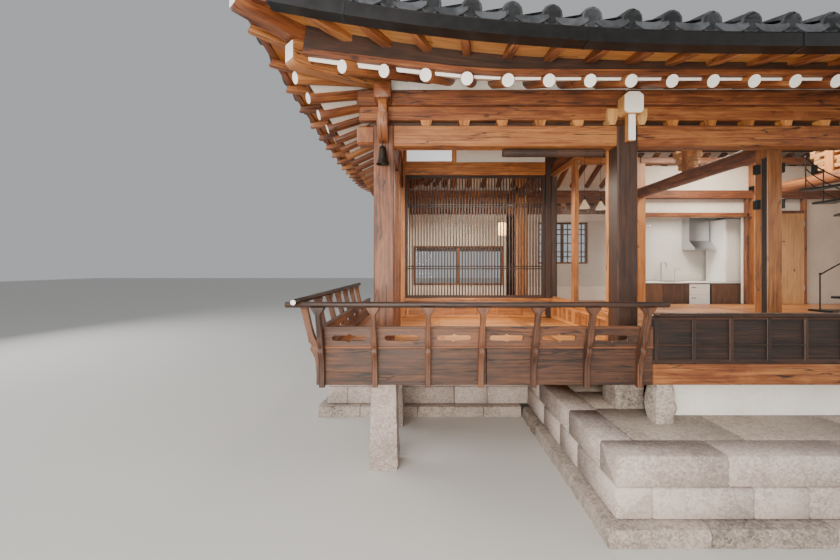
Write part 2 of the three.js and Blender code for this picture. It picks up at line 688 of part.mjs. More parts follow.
function pavilionFloor() {
  const x0 = DECK_LEFT + SKIRT;
  const y0 = DECK_FRONT + SKIRT;
  const x1 = PAVILION_X - 60;
  const slab = block(x0, x1, y0, PAVILION_BACK + 60, FLOOR - FLOOR_THICK, FLOOR);
  const walk = block(x0, -END_X - POST / 2, PAVILION_BACK + 50, DECK_BACK, FLOOR - FLOOR_THICK, FLOOR);
  const beams = [
    block(x0, x1, y0, y0 + 120, SILL_LOW + 10, FLOOR - FLOOR_THICK + 5),
    block(x0, x0 + 120, y0, DECK_BACK, SILL_LOW + 10, FLOOR - FLOOR_THICK + 5),
    block(x0, x1, PAVILION_BACK - 200, PAVILION_BACK - 80, SILL_LOW + 10, FLOOR - FLOOR_THICK + 5),
    block(x0, x1, -INNER_Y - 60, -INNER_Y + 60, SILL_LOW + 10, FLOOR - FLOOR_THICK + 5),
  ];
  return cut(join([slab, walk, ...beams]), postHoles([
    [-END_X, -FRONT_Y, POST / 2], [PAVILION_X, -FRONT_Y, POST / 2], [-END_X, -INNER_Y, POST / 2],
    [PAVILION_X, -INNER_Y, 95],
  ]));
}

function pavilionSkirt() {
  return join([
    block(DECK_LEFT, PAVILION_X, DECK_FRONT, DECK_FRONT + SKIRT, SILL_LOW, SKIRT_TOP),
    block(DECK_LEFT, DECK_LEFT + SKIRT, DECK_FRONT, DECK_BACK, SILL_LOW, SKIRT_TOP),
    block(DECK_LEFT, -END_X - POST / 2, DECK_BACK, DECK_BACK + SKIRT, SILL_LOW, SKIRT_TOP),
  ]);
}

// Bowed balusters, the pierced board between them and the round rail on top.
const BALUSTER_WIDE = 48;
const BALUSTER_OUTER = [[44, 940], [44, 1040], [60, 1180], [98, 1250], [88, 1285], [114, 1320], [130, 1405],
  [172, 1540], [186, 1600], [186, 1648]];
const BALUSTER_INNER = [[124, 1648], [124, 1600], [112, 1545], [76, 1420], [48, 1335], [SEAT, 1285],
  [SEAT, 940]];
const RAIL_OUT = 155;
const RAIL_END = 95;

function baluster(x, up) {
  const raised = ([out, z]) => [DECK_FRONT - out, z > 1500 ? z + up : z];
  return slabYZ([...BALUSTER_OUTER, ...BALUSTER_INNER].map(raised),
    x - BALUSTER_WIDE / 2, x + BALUSTER_WIDE / 2);
}

// A long hole with rounded ends and a cusp above and below its middle.
function slotOutline(x) {
  const half = 150;
  const z = SKIRT_TOP + 82;
  const upper = [[-half, 0], [-half + 25, 24], [-18, 24], [0, 38], [18, 24], [half - 25, 24], [half, 0]];
  const lower = upper.slice(1, -1).map(([a, b]) => [a, -b]).reverse();
  return [...upper, ...lower].map(([a, b]) => [x + a, z + b]);
}

function railBar(from, to, up, radius) {
  const y = DECK_FRONT - RAIL_OUT;
  return bar([from - RAIL_OUT - RAIL_END, y, RAIL_Z + up], [to, y, RAIL_Z + up], radius, 8);
}

function balustrade(from, to, railTo, first, up) {
  const y = DECK_FRONT;
  const places = Array.from({ length: 7 }, (_, i) => first + i * BALUSTER_STEP);
  const slots = places.slice(1).map((x) => slabXZ(slotOutline(x - BALUSTER_STEP / 2).reverse(), y - 20, y + 60));
  const board = cut(block(from, to, y - 8, y + 28, SKIRT_TOP, SLOT_BOARD_TOP), slots);
  const capping = block(from, to, y - 14, y + 34, SLOT_BOARD_TOP - 6, SLOT_BOARD_TOP + 12);
  return join([board, capping, railBar(from, railTo, up, RAIL_RADIUS), ...places.map((x) => baluster(x, up))]);
}

// The side rail crosses over the front rail at the corner, half let into it.
const SIDE_RAIL_UP = 26;
const swapXY = new THREE.Matrix4().set(0, 1, 0, DECK_LEFT - DECK_FRONT, 1, 0, 0, 0, 0, 0, 1, 0, 0, 0, 0, 1);

function frontBalustrade() {
  const whole = balustrade(DECK_LEFT + 36, PAVILION_X - SEAT, PAVILION_X + 40, DECK_LEFT + 24, 0);
  const crossing = placed(railBar(DECK_FRONT, DECK_BACK, SIDE_RAIL_UP, RAIL_RADIUS + SEAT), swapXY);
  return cut(whole, [crossing]);
}

function sideBalustrade() {
  return placed(balustrade(DECK_FRONT, DECK_BACK, DECK_BACK, DECK_FRONT + 60, SIDE_RAIL_UP), swapXY);
}

// Veranda in front of the hall: an edge beam, a panelled parapet and its capping.
const VERANDA_END = END_X + 100;
const PARAPET_TOP = 1575;
const PANEL = 330;

function parapet() {
  const y0 = DECK_FRONT;
  const x0 = PAVILION_X + SEAT;
  const body = block(x0, VERANDA_END, y0 + 14, y0 + 64, SILL_LOW + 170, PARAPET_TOP - 30);
  const recesses = [];
  for (let x = x0 + 40; x + PANEL < VERANDA_END; x += PANEL)
    for (const [low, top] of [[1172, 1288], [1306, 1520]])
      recesses.push(block(x + 18, x + PANEL - 18, y0 + 5, y0 + 26, low, top));
  return join([
    cut(body, recesses),
    block(x0, VERANDA_END, y0, y0 + 80, SILL_LOW, SILL_LOW + 180),
    block(PAVILION_X + 50, VERANDA_END + 10, y0 - 12, y0 + 88, PARAPET_TOP - 30, PARAPET_TOP),
    block(VERANDA_END - 50, VERANDA_END, y0 + 40, -FRONT_Y - POST / 2 - SEAT, SILL_LOW, PARAPET_TOP - 30),
  ]);
}

function hallFloor() {
  const y0 = DECK_FRONT + 80 + SEAT;
  const x0 = PAVILION_X - 60 + SEAT;
  const back = FRONT_Y - WALL_THICK - SEAT;
  const slab = join([
    block(x0, VERANDA_END - 50 - SEAT, y0, -FRONT_Y + 90, FLOOR - FLOOR_THICK, FLOOR),
    block(x0, END_X - WALL_THICK - 2 * SEAT, -FRONT_Y + 80, back, FLOOR - FLOOR_THICK, FLOOR),
    block(-END_X + WALL_THICK + 2 * SEAT, x0 + 10, PAVILION_BACK + 60 + SEAT, back, FLOOR - FLOOR_THICK, FLOOR),
  ]);
  const beams = [-FRONT_Y, -INNER_Y, INNER_Y - 120].map((y) =>
    block(x0, END_X - WALL_THICK - 2 * SEAT, y - 60, y + 60, SILL_LOW + 10, FLOOR - FLOOR_THICK + 5));
  const holes = [[END_X, -FRONT_Y, POST / 2], [END_X, -INNER_Y, POST / 2], [-END_X, INNER_Y, POST / 2],
    [END_X, INNER_Y, POST / 2]];
  for (const x of LINES.slice(1)) holes.push([x, -FRONT_Y, POST / 2], [x, -INNER_Y, 95], [x, INNER_Y, 95]);
  const kitchen = block(KITCHEN_LEFT, KITCHEN_RIGHT, INNER_Y + 60, FRONT_Y, 0, 4000);
  return cut(join([slab, ...beams]), [...postHoles(holes), kitchen]);
}

// White wall set back under the edge of the hall floor.
function underfloorWall() {
  const top = FLOOR - FLOOR_THICK - SEAT;
  return join([
    block(PAVILION_X + 250, VERANDA_END - 60, -2860, -2820, PLATFORM_TOP, SILL_LOW + 150),
    block(PAVILION_X + 250, VERANDA_END - 60, -2866, -2820, PLATFORM_TOP, PLATFORM_TOP + 45),
    block(PAVILION_X + 250, VERANDA_END - 60, -2860, -2820, SILL_LOW, top),
  ]);
}

// Outer walls: plaster on the inner half of the posts, with window openings.
const WALL_THICK = 100;
const WALL_LOW = PLATFORM_TOP;
const WALL_TOP = LINTEL_LOW;
const WINDOW = [1150, 950, 2050];
const WIDE_WINDOW = [2060, 900, 1560];
const KITCHEN_LEFT = 10;
const KITCHEN_RIGHT = 2600;

function windowHole(u, v0, v1, alongX, size = WINDOW) {
  const [wide, high, low] = size;
  return alongX ? block(u - wide / 2, u + wide / 2, v0, v1, low, low + high)
    : block(v0, v1, u - wide / 2, u + wide / 2, low, low + high);
}

function rearWall() {
  const x = END_X - WALL_THICK - 2 * SEAT;
  const body = block(-x, x, FRONT_Y - WALL_THICK, FRONT_Y - SEAT, WALL_LOW, LINTEL_LOW - SEAT);
  return cut(body, [
    windowHole(-1.5 * BAY, FRONT_Y - 200, FRONT_Y + 100, true, WIDE_WINDOW),
    ...[-0.5, 1.5].map((n) => windowHole(n * BAY, FRONT_Y - 200, FRONT_Y + 100, true)),
    ...LINES.map((u) => stoneRoom(u, FRONT_Y)),
  ]);
}

// The rear window sheet closes three windows; the side sheets close one each.
function rearGlass() {
  const [, high, low] = WINDOW;
  const y = FRONT_Y - WALL_THICK - SEAT;
  return block(-END_X + 130, END_X - 300, y - 12, y, WIDE_WINDOW[2] - 30, low + high + 30);
}

function sideWall(from) {
  const x = -END_X + SEAT;
  const body = block(x, x + WALL_THICK, from, FRONT_Y - 101, WALL_LOW, LINTEL_LOW - SEAT);
  return cut(body, [
    windowHole(from < -FRONT_Y + 400 ? 0 : 520, x - 100, x + 200, false),
    ...[-FRONT_Y, -INNER_Y, INNER_Y, FRONT_Y].map((v) => stoneRoom(-END_X, v)),
  ]);
}

function sideGlass(middle) {
  const [wide, high, low] = WINDOW;
  const x = -END_X + WALL_THICK + 2 * SEAT;
  return block(x, x + 12, middle - wide / 2 - 30, middle + wide / 2 + 30, low - 30, low + high + 30);
}

// Back wall of the pavilion: jambs, a lintel, a sill and a boarded wainscot round the screen.
const SCREEN_LOW = 1515;
const SCREEN_TOP = 3364;
const SCREEN_Y = PAVILION_BACK;
const JAMB = 120;
const STILE = 170;

function pavilionBackWall() {
  const x0 = -END_X - 60;
  const x1 = PAVILION_X - 60;
  const y0 = SCREEN_Y - 60;
  const y1 = SCREEN_Y + 60;
  const low = FLOOR + SEAT;
  const top = SCREEN_TOP + 440;
  const sillEnd = SIDE_WALL_X - 10 - SEAT;
  const body = join([
    block(x0, x0 + JAMB + 60, y0, y1, low, top),
    block(x1 - STILE + 60, x1 + 60, y0, y1, low, top),
    block(x0, x1, y0 + 10, y1 - 10, SCREEN_TOP, SCREEN_TOP + 130),
    block(x0, x1, y0 + 10, y1 - 10, top - 70, top),
    block(-3600, -3540, y0 + 10, y1 - 10, SCREEN_TOP + 100, top - 40),
    block(-3560, x1, y0 + 40, y1 - 40, SCREEN_TOP + 100, top),
    block(x0, sillEnd, y0 - 20, y1, SCREEN_LOW - 50, SCREEN_LOW),
    block(x0, x1, y0 + 25, y1 - 25, low, SCREEN_LOW - 20),
    block(x0, x1, y0 + 5, y1 - 20, low, low + 60),
  ]);
  return cut(body, [
    block(x0 - 200, -END_X + PURLIN_WIDE / 2 + SEAT, y0 - 90, y1 + 90, LINTEL_LOW - SEAT, 5000),
    bar([PAVILION_X, y0 - 90, LOG_Z], [PAVILION_X, y1 + 90, LOG_Z], LOG_RADIUS + 0.5, 12),
  ]);
}

// Lattice of thin upright bars in a frame.
const LATTICE_STEP = 44.5;

function lattice() {
  const x0 = -END_X + JAMB + SEAT;
  const x1 = PAVILION_X - STILE - SEAT;
  const top = SCREEN_TOP - SEAT;
  const parts = [
    block(x0, x1, SCREEN_Y - 25, SCREEN_Y + 10, SCREEN_LOW + SEAT, SCREEN_LOW + 40),
    block(x0, x1, SCREEN_Y - 25, SCREEN_Y + 10, top - 40, top),
    block(x0, x0 + 40, SCREEN_Y - 25, SCREEN_Y + 10, SCREEN_LOW + SEAT, top),
    block(x1 - 40, x1, SCREEN_Y - 25, SCREEN_Y + 10, SCREEN_LOW + SEAT, top),
  ];
  for (let x = x0 + 40 + LATTICE_STEP / 2; x < x1 - 45; x += LATTICE_STEP)
    parts.push(block(x - 9, x + 9, SCREEN_Y - 20, SCREEN_Y, SCREEN_LOW + 20, top - 20));
  return join(parts);
}

// Right-hand wall of the pavilion, between it and the hall: wainscot, stiles and rails.
const SIDE_WALL_X = PAVILION_X - 100;
const SIDE_WALL_FRONT = -FRONT_Y + POST / 2 + SEAT;
const SIDE_WALL_BACK = SCREEN_Y - 60 - SEAT;
const SIDE_WALL_TOP = 3377;

function pavilionSideWall() {
  const [x0, x1, front, back] = [SIDE_WALL_X, SIDE_WALL_X + 60, SIDE_WALL_FRONT, SIDE_WALL_BACK];
  const low = FLOOR + SEAT;
  return join([
    block(x0 + 10, x1 - 10, front, back, low, SCREEN_LOW),
    block(x0 - 10, x1, front, back, SCREEN_LOW - 50, SCREEN_LOW),
    block(x0, x1, front, back, SIDE_WALL_TOP - 40, SIDE_WALL_TOP),
    block(x0, x1, front, front + 60, low, SIDE_WALL_TOP),
    block(x0, x1, -INNER_Y - 50, -INNER_Y + 50, low, SIDE_WALL_TOP),
    block(x0, x1, back - 60, back, low, SIDE_WALL_TOP),
  ]);
}

function sidePane(y0, y1) {
  const x = SIDE_WALL_X + 25;
  return block(x, x + 8, y0 + SEAT, y1 - SEAT, SCREEN_LOW + SEAT, SIDE_WALL_TOP - 40 - SEAT);
}

// Wall between hall and kitchen row: beam, lintel and jambs in front, plaster behind.
const KITCHEN_OPEN = [110, 2190, 3000];
const DOOR_X = 2750;
const DOOR_WIDE = 600;
const DOOR_TOP = 3066;
const DOOR_LOW = FLOOR + 6;
const DOOR_THICK = 40;
const DOOR_FACE = INNER_Y - 50;
const HINGE = [DOOR_X + DOOR_WIDE + 2, DOOR_FACE - 4];
const HINGE_RADIUS = 4.7;
const BEAM_LOW = 3374;
const BEAM_TOP = 3538;

function kitchenFrame() {
  const y0 = INNER_Y - 60;
  const y1 = INNER_Y + 60;
  const low = FLOOR + SEAT;
  const reach = 95 + SEAT;
  const [left, right, top] = KITCHEN_OPEN;
  const hinge = DOOR_X + DOOR_WIDE + 5;
  const latch = DOOR_X - 8;
  const body = join([
    block(reach, END_X - 105, y0, y1, BEAM_LOW, BEAM_TOP),
    block(reach, BAY - reach, y0 + 20, y1 - 20, top, top + 87),
    block(reach, left + 20, y0 + 20, y1 - 20, low, BEAM_LOW + 20),
    block(right, right + 50, y0 + 20, y1 - 20, low, BEAM_LOW + 20),
    block(latch - 55, latch, DOOR_FACE, DOOR_FACE + 100, low, BEAM_LOW + 20),
    block(hinge, hinge + 55, DOOR_FACE, DOOR_FACE + 100, low, BEAM_LOW + 20),
    block(latch - 55, hinge + 55, DOOR_FACE, DOOR_FACE + 100, DOOR_TOP + 5, DOOR_TOP + 60),
  ]);
  const logs = [0, BAY].map((x) => bar([x, y0 - 90, LOG_Z], [x, INNER_Y + 1, LOG_Z], LOG_RADIUS + 0.5, 12));
  return cut(body, [
    block(BAY - reach, BAY + reach, y0 - 90, y1 - 25, 0, 4000),
    block(BAY - reach, BAY + reach, y0 - 90, y1 + 90, 0, BEAM_LOW),
    ...logs,
  ]);
}

// The beam of the wall runs on behind the inner post.
function beamRoom() {
  return block(BAY - 96, BAY + 96, INNER_Y + 35 - SEAT, INNER_Y + 96, BEAM_LOW - SEAT, BEAM_TOP + SEAT);
}

function kitchenWall() {
  const y0 = INNER_Y + 60 + SEAT;
  const [left, right, top] = KITCHEN_OPEN;
  return cut(block(10, END_X - WALL_THICK - 2 * SEAT, y0, y0 + 50, FLOOR + SEAT, 4060), [
    block(left, right, y0 - 60, y0 + 90, 0, top),
    block(DOOR_X - 20, DOOR_X + DOOR_WIDE + 20, y0 - 60, y0 + 90, 0, DOOR_TOP + 20),
    block(3600, END_X, y0 - 60, y0 + 90, 3800, 4100),
    ...[0, BAY].map((x) => block(x - 96, x + 96, INNER_Y - 96, INNER_Y + 96, 0, 4100)),
    ...[0, BAY].map((x) => block(x - 96, x + 96, y0 - 60, y0 + 90, HEAD_LOW - SEAT, HEAD_TOP + SEAT)),
    block(END_X - 102, END_X + 102, INNER_Y - 102, INNER_Y + 102, 0, 4100),
  ]);
}

// Door leaf with a lever handle near its left edge; it hangs on its right edge.
function doorLeaf() {
  const y = DOOR_FACE;
  const lever = DOOR_X + 55;
  const handle = join([
    block(lever - 14, lever + 14, y - 12, y + 1, 2440, 2540),
    block(lever - 8, lever + 8, y - 50, y, 2482, 2498),
    block(lever - 8, lever + 110, y - 58, y - 44, 2482, 2498),
  ]);
  const barrels = [1500, 2800].map((z) => bar([...HINGE, z], [...HINGE, z + 100], HINGE_RADIUS, 8));
  const leaf = block(DOOR_X, DOOR_X + DOOR_WIDE, y, y + DOOR_THICK, DOOR_LOW, DOOR_TOP);
  const plates = [1500, 2800].map((z) => block(HINGE[0] - 8, HINGE[0], HINGE[1], y + 1, z + 2, z + 98));
  return join([leaf, handle, ...barrels, ...plates]);
}

const COUNTER_TOP = 1657;
const KITCHEN_FRONT = INNER_Y + 60 + 60;

function kitchenFloor() {
  const slab = block(KITCHEN_LEFT + SEAT, KITCHEN_RIGHT - SEAT, INNER_Y + 60 + SEAT, FRONT_Y - WALL_THICK - SEAT,
    PLATFORM_TOP, KITCHEN_FLOOR);
  return cut(slab, [0, BAY].flatMap((x) => [stoneRoom(x, INNER_Y), stoneRoom(x, FRONT_Y)]));
}

// A run of base units with a worktop, and a tall cupboard at its right end.
function cabinets() {
  const y0 = KITCHEN_FRONT + 180;
  const y1 = FRONT_Y - 165;
  const body = block(120, 2040, y0 + 20, y1, KITCHEN_FLOOR, COUNTER_TOP - 25);
  const gaps = [560, 1010, 1240, 1480].map((x) => block(x, x + 4, y0, y0 + 26, KITCHEN_FLOOR + 60, COUNTER_TOP - 40));
  const worktop = block(110, 2040, y0, y1, COUNTER_TOP - 30, COUNTER_TOP);
  const cupboard = block(2020, 2400, y0, y1, KITCHEN_FLOOR, 3000);
  return join([cut(body, gaps), worktop, cupboard]);
}

function hood() {
  const y1 = FRONT_Y - WALL_THICK - 12 - 2 * SEAT;
  const wing = [[y1, 2352], [y1 - 420, 2352], [y1 - 420, 2392], [y1 - 240, 2560], [y1 - 240, 3080], [y1, 3080]];
  return slabYZ(wing, 1520, 1960);
}

// Steel spiral stair: a centre pole, wedge treads, a guard on the outer edge.
const STAIR = [1750, -820];
const STAIR_RADIUS = 530;
const TREADS = 10;
const FIRST_TREAD = 1370;
const TREAD_RISE = 204;
const TREAD_TURN = Math.PI / 6;
const FIRST_ANGLE = (192 / 180) * Math.PI;
const RAILS = [500, 330, 160];

function stairPoint(step, radius, z) {
  const angle = FIRST_ANGLE + step * TREAD_TURN;
  return [STAIR[0] + radius * Math.cos(angle), STAIR[1] + radius * Math.sin(angle), z + step * TREAD_RISE];
}

function tread(step) {
  const at = (turn, radius) => {
    const angle = FIRST_ANGLE + (step + turn) * TREAD_TURN;
    return new THREE.Vector2(STAIR[0] + radius * Math.cos(angle), STAIR[1] + radius * Math.sin(angle));
  };
  const outline = new THREE.Shape([at(-0.9, 20), at(-0.55, STAIR_RADIUS), at(0, STAIR_RADIUS + 4),
    at(0.55, STAIR_RADIUS), at(0.9, 20)]);
  const shape = new THREE.ExtrudeGeometry(outline, { depth: 30, bevelEnabled: false });
  shape.translate(0, 0, FIRST_TREAD + step * TREAD_RISE - 30);
  return solid(shape);
}

function spiralStair() {
  const [x, y] = STAIR;
  const parts = [bar([x, y, FLOOR + SEAT], [x, y, 4250], 38, 12)];
  const edge = STAIR_RADIUS - 14;
  for (let step = 0; step < TREADS; step++) {
    parts.push(tread(step));
    parts.push(bar(stairPoint(step, edge, FIRST_TREAD - 20), stairPoint(step, edge, FIRST_TREAD + RAILS[0]), 9, 4));
  }
  for (const up of RAILS)
    for (let step = up === RAILS[0] ? 0 : 5; step < TREADS - 1; step++)
      parts.push(bar(stairPoint(step, edge, FIRST_TREAD + up), stairPoint(step + 1, edge, FIRST_TREAD + up), 9, 4));
  return join(parts);
}

// Rolled cane blind under the front lintel of the pavilion, and the wind bell at the corner.
function blind() {
  const z = LINTEL_LOW - 42;
  return bar([-3607, -FRONT_Y + 20, z], [-2594, -FRONT_Y + 20, z], 40, 12)
    .add(block(-3440, -3420, -FRONT_Y + 10, -FRONT_Y + 30, z, LINTEL_LOW - SEAT))
    .add(block(-2780, -2760, -FRONT_Y + 10, -FRONT_Y + 30, z, LINTEL_LOW - SEAT));
}

function windBell() {
  const low = 2965;
  const outer = [[0, 175], [20, 172], [34, 150], [44, 70], [62, 0]];
  const inner = [[58, 0], [40, 70], [30, 145], [0, 160]];
  const shape = new THREE.LatheGeometry([...outer, ...inner].map(([r, z]) => new THREE.Vector2(r, z)).reverse(), 14);
  shape.rotateX(Math.PI / 2);
  shape.translate(-END_X, -FRONT_Y - TAIL + 60, low);
  return solid(shape).add(bar([-END_X, -FRONT_Y - TAIL + 60, low + 165],
    [-END_X, -FRONT_Y - TAIL + 60, TAIL_LOW - SEAT], 6, 6));
}

// Assembly, from the ground up.
const frontCorners = [[-1, -1], [1, -1]];
const leftCorners = [[-1, -1], [-1, 1]];

add("platform", platform(), granite);
add("corner_pillar_stone", pillarStone(-END_X, -FRONT_Y), granite);
add("side_pillar_stone", pillarStone(-END_X, -INNER_Y), granite);

const frontFrame = longFrame();
const rearNotch = block(-END_X + 105, END_X - 105, FRONT_Y - WALL_THICK - 1, FRONT_Y, 0, LINTEL_LOW);
add("front_frame", frontFrame, wood);
add("rear_frame", cut(mirrorY(frontFrame), [rearNotch]), wood);
const leftFrom = PAVILION_BACK + 60 + SEAT;
const leftWall = sideWall(leftFrom);
const rightWall = mirrorX(sideWall(-FRONT_Y + 101));
const sideNotch = block(-END_X, -END_X + WALL_THICK + 1, leftFrom, FRONT_Y - 101, 0, LINTEL_LOW);
const wideNotch = block(-END_X, -END_X + WALL_THICK + 1, -FRONT_Y + 101, FRONT_Y - 101, 0, LINTEL_LOW);
add("left_frame", cut(sideFrame(), [sideNotch]), wood);
add("right_frame", mirrorX(cut(sideFrame(), [wideNotch])), wood);

const frontPurlin = longPurlin();
add("front_purlin", frontPurlin, wood);
add("rear_purlin", mirrorY(frontPurlin), wood);
add("left_purlin", sidePurlin(), wood);
add("right_purlin", mirrorX(sidePurlin()), wood);

const inner = innerPurlin();
const innerFrame = join([
  ...LINES.slice(1, 4).map((x) => crossbeam(x)), inner, mirrorY(inner), ridgePurlin(),
]);
add("inner_frame", cut(innerFrame, [
  beamRoom(),
]), wood);

const front = rafters(frontRays(), rafterTies(INNER_Y, GABLE_X - 10, 4440), frontCorners);
const toLeft = new THREE.Matrix4().makeRotationZ(-Math.PI / 2);
const sideTies = rafterTies(GABLE_X, INNER_Y - 40, 2195).map((tie) => placed(tie, toLeft));
const left = rafters(leftRays(), sideTies, leftCorners);
add("front_rafters", front, wood);
add("rear_rafters", mirrorY(front), wood);
add("left_rafters", left, wood);
add("right_rafters", mirrorX(left), wood);
const frontFly = flyingRafters(frontRays(), frontEdge, frontCorners);
const leftFly = flyingRafters(leftRays(), leftEdge, leftCorners);
add("front_flying_rafters", frontFly, wood);
add("rear_flying_rafters", mirrorY(frontFly), wood);
add("left_flying_rafters", leftFly, wood);
add("right_flying_rafters", mirrorX(leftFly), wood);
const hip = hipRafter();
add("hip_rafter_front_left", hip, wood);
add("hip_rafter_front_right", mirrorX(hip), wood);
add("hip_rafter_rear_left", mirrorY(hip), wood);
add("hip_rafter_rear_right", mirrorX(mirrorY(hip)), wood);

const hipEnd = hipRoof();
const bed = join([mainRoof(), hipEnd, mirrorX(hipEnd)]);
add("roof_bed", bed, tile);
add("roof_ridges", ridges(bed), tile);
add("gable_wall_left", gableWall(), plaster);
add("gable_wall_right", mirrorX(gableWall()), plaster);
add("gable_boards_left", gableBoards(), oldWood);
add("gable_boards_right", mirrorX(gableBoards()), oldWood);
const eaveRoom = [[-SEAT, -1], [SEAT, -1], [-SEAT, 0], [SEAT, 0]].map(([x, z]) => shifted(frontFly, x, -SEAT, z));
add("gutter_front", cut(gutter(), eaveRoom), darkMetal);

add("pavilion_floor", pavilionFloor(), goldWood);
add("pavilion_skirt", pavilionSkirt(), wood);
add("balustrade_front", frontBalustrade(), wood);
add("balustrade_left", sideBalustrade(), wood);
add("pavilion_back_wall", pavilionBackWall(), goldWood);
add("lattice_screen", lattice(), oldWood);
add("pavilion_side_wall", pavilionSideWall(), goldWood);
add("side_pane_front", sidePane(SIDE_WALL_FRONT + 60, -INNER_Y - 50), glass);
add("side_pane_back", sidePane(-INNER_Y + 50, SIDE_WALL_BACK - 60), glass);
add("cane_blind", blind(), cane);
add("wind_bell", windBell(), darkMetal);

add("veranda_parapet", parapet(), oldWood);
add("hall_floor", hallFloor(), goldWood);
add("underfloor_wall", underfloorWall(), plaster);
add("front_glass", block(PAVILION_X + 100 + SEAT, END_X - 100 - SEAT, -FRONT_Y + POST / 2 + SEAT,
  -FRONT_Y + POST / 2 + 12, FLOOR + SEAT, LINTEL_TOP - 40), glass);
add("left_wall", leftWall, plaster);
add("right_wall", rightWall, plaster);
add("rear_wall", rearWall(), plaster);
add("left_glass", sideGlass(520), glass);
add("right_glass", mirrorX(sideGlass(0)), glass);
add("rear_glass", rearGlass(), glass);

add("kitchen_frame", kitchenFrame(), wood);
add("kitchen_wall", kitchenWall(), plaster);
add("kitchen_floor", kitchenFloor(), plaster);
add("kitchen_cabinets", cabinets(), enamel);
add("cooker_hood", hood(), steel);
add("door_leaf", doorLeaf(), doorWood);
add("spiral_stair", spiralStair(), darkMetal);

export default house;
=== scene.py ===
# %% [markdown]
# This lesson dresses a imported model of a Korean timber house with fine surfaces: oiled pine, white
# painted timber ends, clay tiles, split granite, lime plaster and glass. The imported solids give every
# place and size. Where a plain solid is too coarse for its own detail, a new surface stands for it.

import math
from itertools import pairwise

import bpy
import numpy as np
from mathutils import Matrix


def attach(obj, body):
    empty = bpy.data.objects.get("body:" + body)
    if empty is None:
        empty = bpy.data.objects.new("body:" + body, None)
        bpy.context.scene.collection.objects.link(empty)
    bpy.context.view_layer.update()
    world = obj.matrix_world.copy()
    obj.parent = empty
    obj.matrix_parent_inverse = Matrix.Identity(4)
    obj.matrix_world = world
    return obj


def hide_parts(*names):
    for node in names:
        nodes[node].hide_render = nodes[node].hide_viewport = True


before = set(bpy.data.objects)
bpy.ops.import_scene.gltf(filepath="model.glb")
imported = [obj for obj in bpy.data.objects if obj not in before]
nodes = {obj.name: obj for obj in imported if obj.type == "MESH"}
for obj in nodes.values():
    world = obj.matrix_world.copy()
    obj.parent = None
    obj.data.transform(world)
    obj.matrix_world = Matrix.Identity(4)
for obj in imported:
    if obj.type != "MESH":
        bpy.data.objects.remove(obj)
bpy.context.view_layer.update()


# %% [markdown]
# Camera and light. The picture is taken level, from 1.99 m above the foot of the platform, with a wide
# lens, so uprights stay upright and the eave sweeps overhead. A small lens shift sets the horizon.
# Large soft panels light the walls from the front and the sky lights the roof; small warm panels
# under the ceilings stand for the lamps of the rooms, since deep eaves keep the daylight out.

# %% Camera
camera = bpy.data.objects.new("viewpoint", bpy.data.cameras.new("viewpoint"))
bpy.context.scene.collection.objects.link(camera)
camera.location = (-4.419, -6.479, 1.99)
camera.rotation_euler = (math.pi / 2, 0, 0)
camera.data.lens = 16.697
camera.data.sensor_width = 36
camera.data.shift_x = -0.0030
camera.data.shift_y = -0.0162
camera.data.clip_end = 300
bpy.context.scene.camera = camera
print("camera at", tuple(camera.location), "lens", camera.data.lens)


# %% Light
def panel(name, place, target, size, watts, colour=(1, 1, 1)):
    """A square soft light that faces a target: it is tipped from straight down by the angle to the
    target, then turned to the target's bearing."""
    data = bpy.data.lights.new(name, "AREA")
    data.size = size
    data.energy = watts
    data.color = colour
    light = bpy.data.objects.new(name, data)
    bpy.context.scene.collection.objects.link(light)
    x, y, z = np.array(target, float) - np.array(place, float)
    light.location = place
    light.rotation_euler = (math.atan2(np.hypot(x, y), -z), 0, math.atan2(y, x) - math.pi / 2)


panel("front_panel", (-10, -12, 7), (-1, 0, 2), 8, 1150)
panel("left_panel", (-15, 2, 6), (0, 0, 2), 8, 800)
panel("right_panel", (14, -8, 8), (0, 0, 2), 9, 800)
panel("low_panel", (-5, -8.3, 1.8), (-3, -1.5, 4.2), 2.4, 440, (1, 0.93, 0.84))
WARM = (1.0, 0.86, 0.70)
panel("pavilion_lamp", (-3.6, -1.55, 3.05), (-3.6, -1.55, 0), 1.2, 70, WARM)
panel("hall_lamp", (1.2, 0.1, 4.3), (1.2, 0.1, 0), 1.4, 140, WARM)
panel("back_lamp", (-3.6, 1.0, 3.05), (-3.6, 1.0, 0), 1.4, 45, WARM)
panel("kitchen_lamp", (1.1, 1.72, 3.0), (1.1, 1.9, 0), 0.3, 25, (1, 0.93, 0.85))
sky = bpy.data.worlds.new("studio")
sky.use_nodes = True
background = sky.node_tree.nodes["Background"]
background.inputs["Color"].default_value = (0.86, 0.89, 0.93, 1)
background.inputs["Strength"].default_value = 0.5
bpy.context.scene.world = sky
print("lights", len(bpy.data.lights))

# %% [markdown]
# Colours are written as sRGB hex values, as a paint chart gives them, and turned to linear light once.
# One helper adds a shader node with its settings and links, so that each recipe reads as a list.

# %% Colour and shader helpers
def linear(code):
    """sRGB hex to linear: a value under 0.04045 is divided by 12.92, and the rest follow a 2.4 power."""
    srgb = np.array([int(code[i:i + 2], 16) / 255 for i in (1, 3, 5)])
    low = srgb / 12.92
    high = ((srgb + 0.055) / 1.055) ** 2.4
    return (*np.where(srgb <= 0.04045, low, high), 1.0)


def join(tree, node, links):
    """Fills a node's inputs: a tuple of (node, socket) is linked, and any other value is set."""
    for key, value in links.items():
        if isinstance(value, tuple) and hasattr(value[0], "outputs"):
            tree.links.new(value[0].outputs[value[1]], node.inputs[key])
        else:
            node.inputs[key].default_value = value


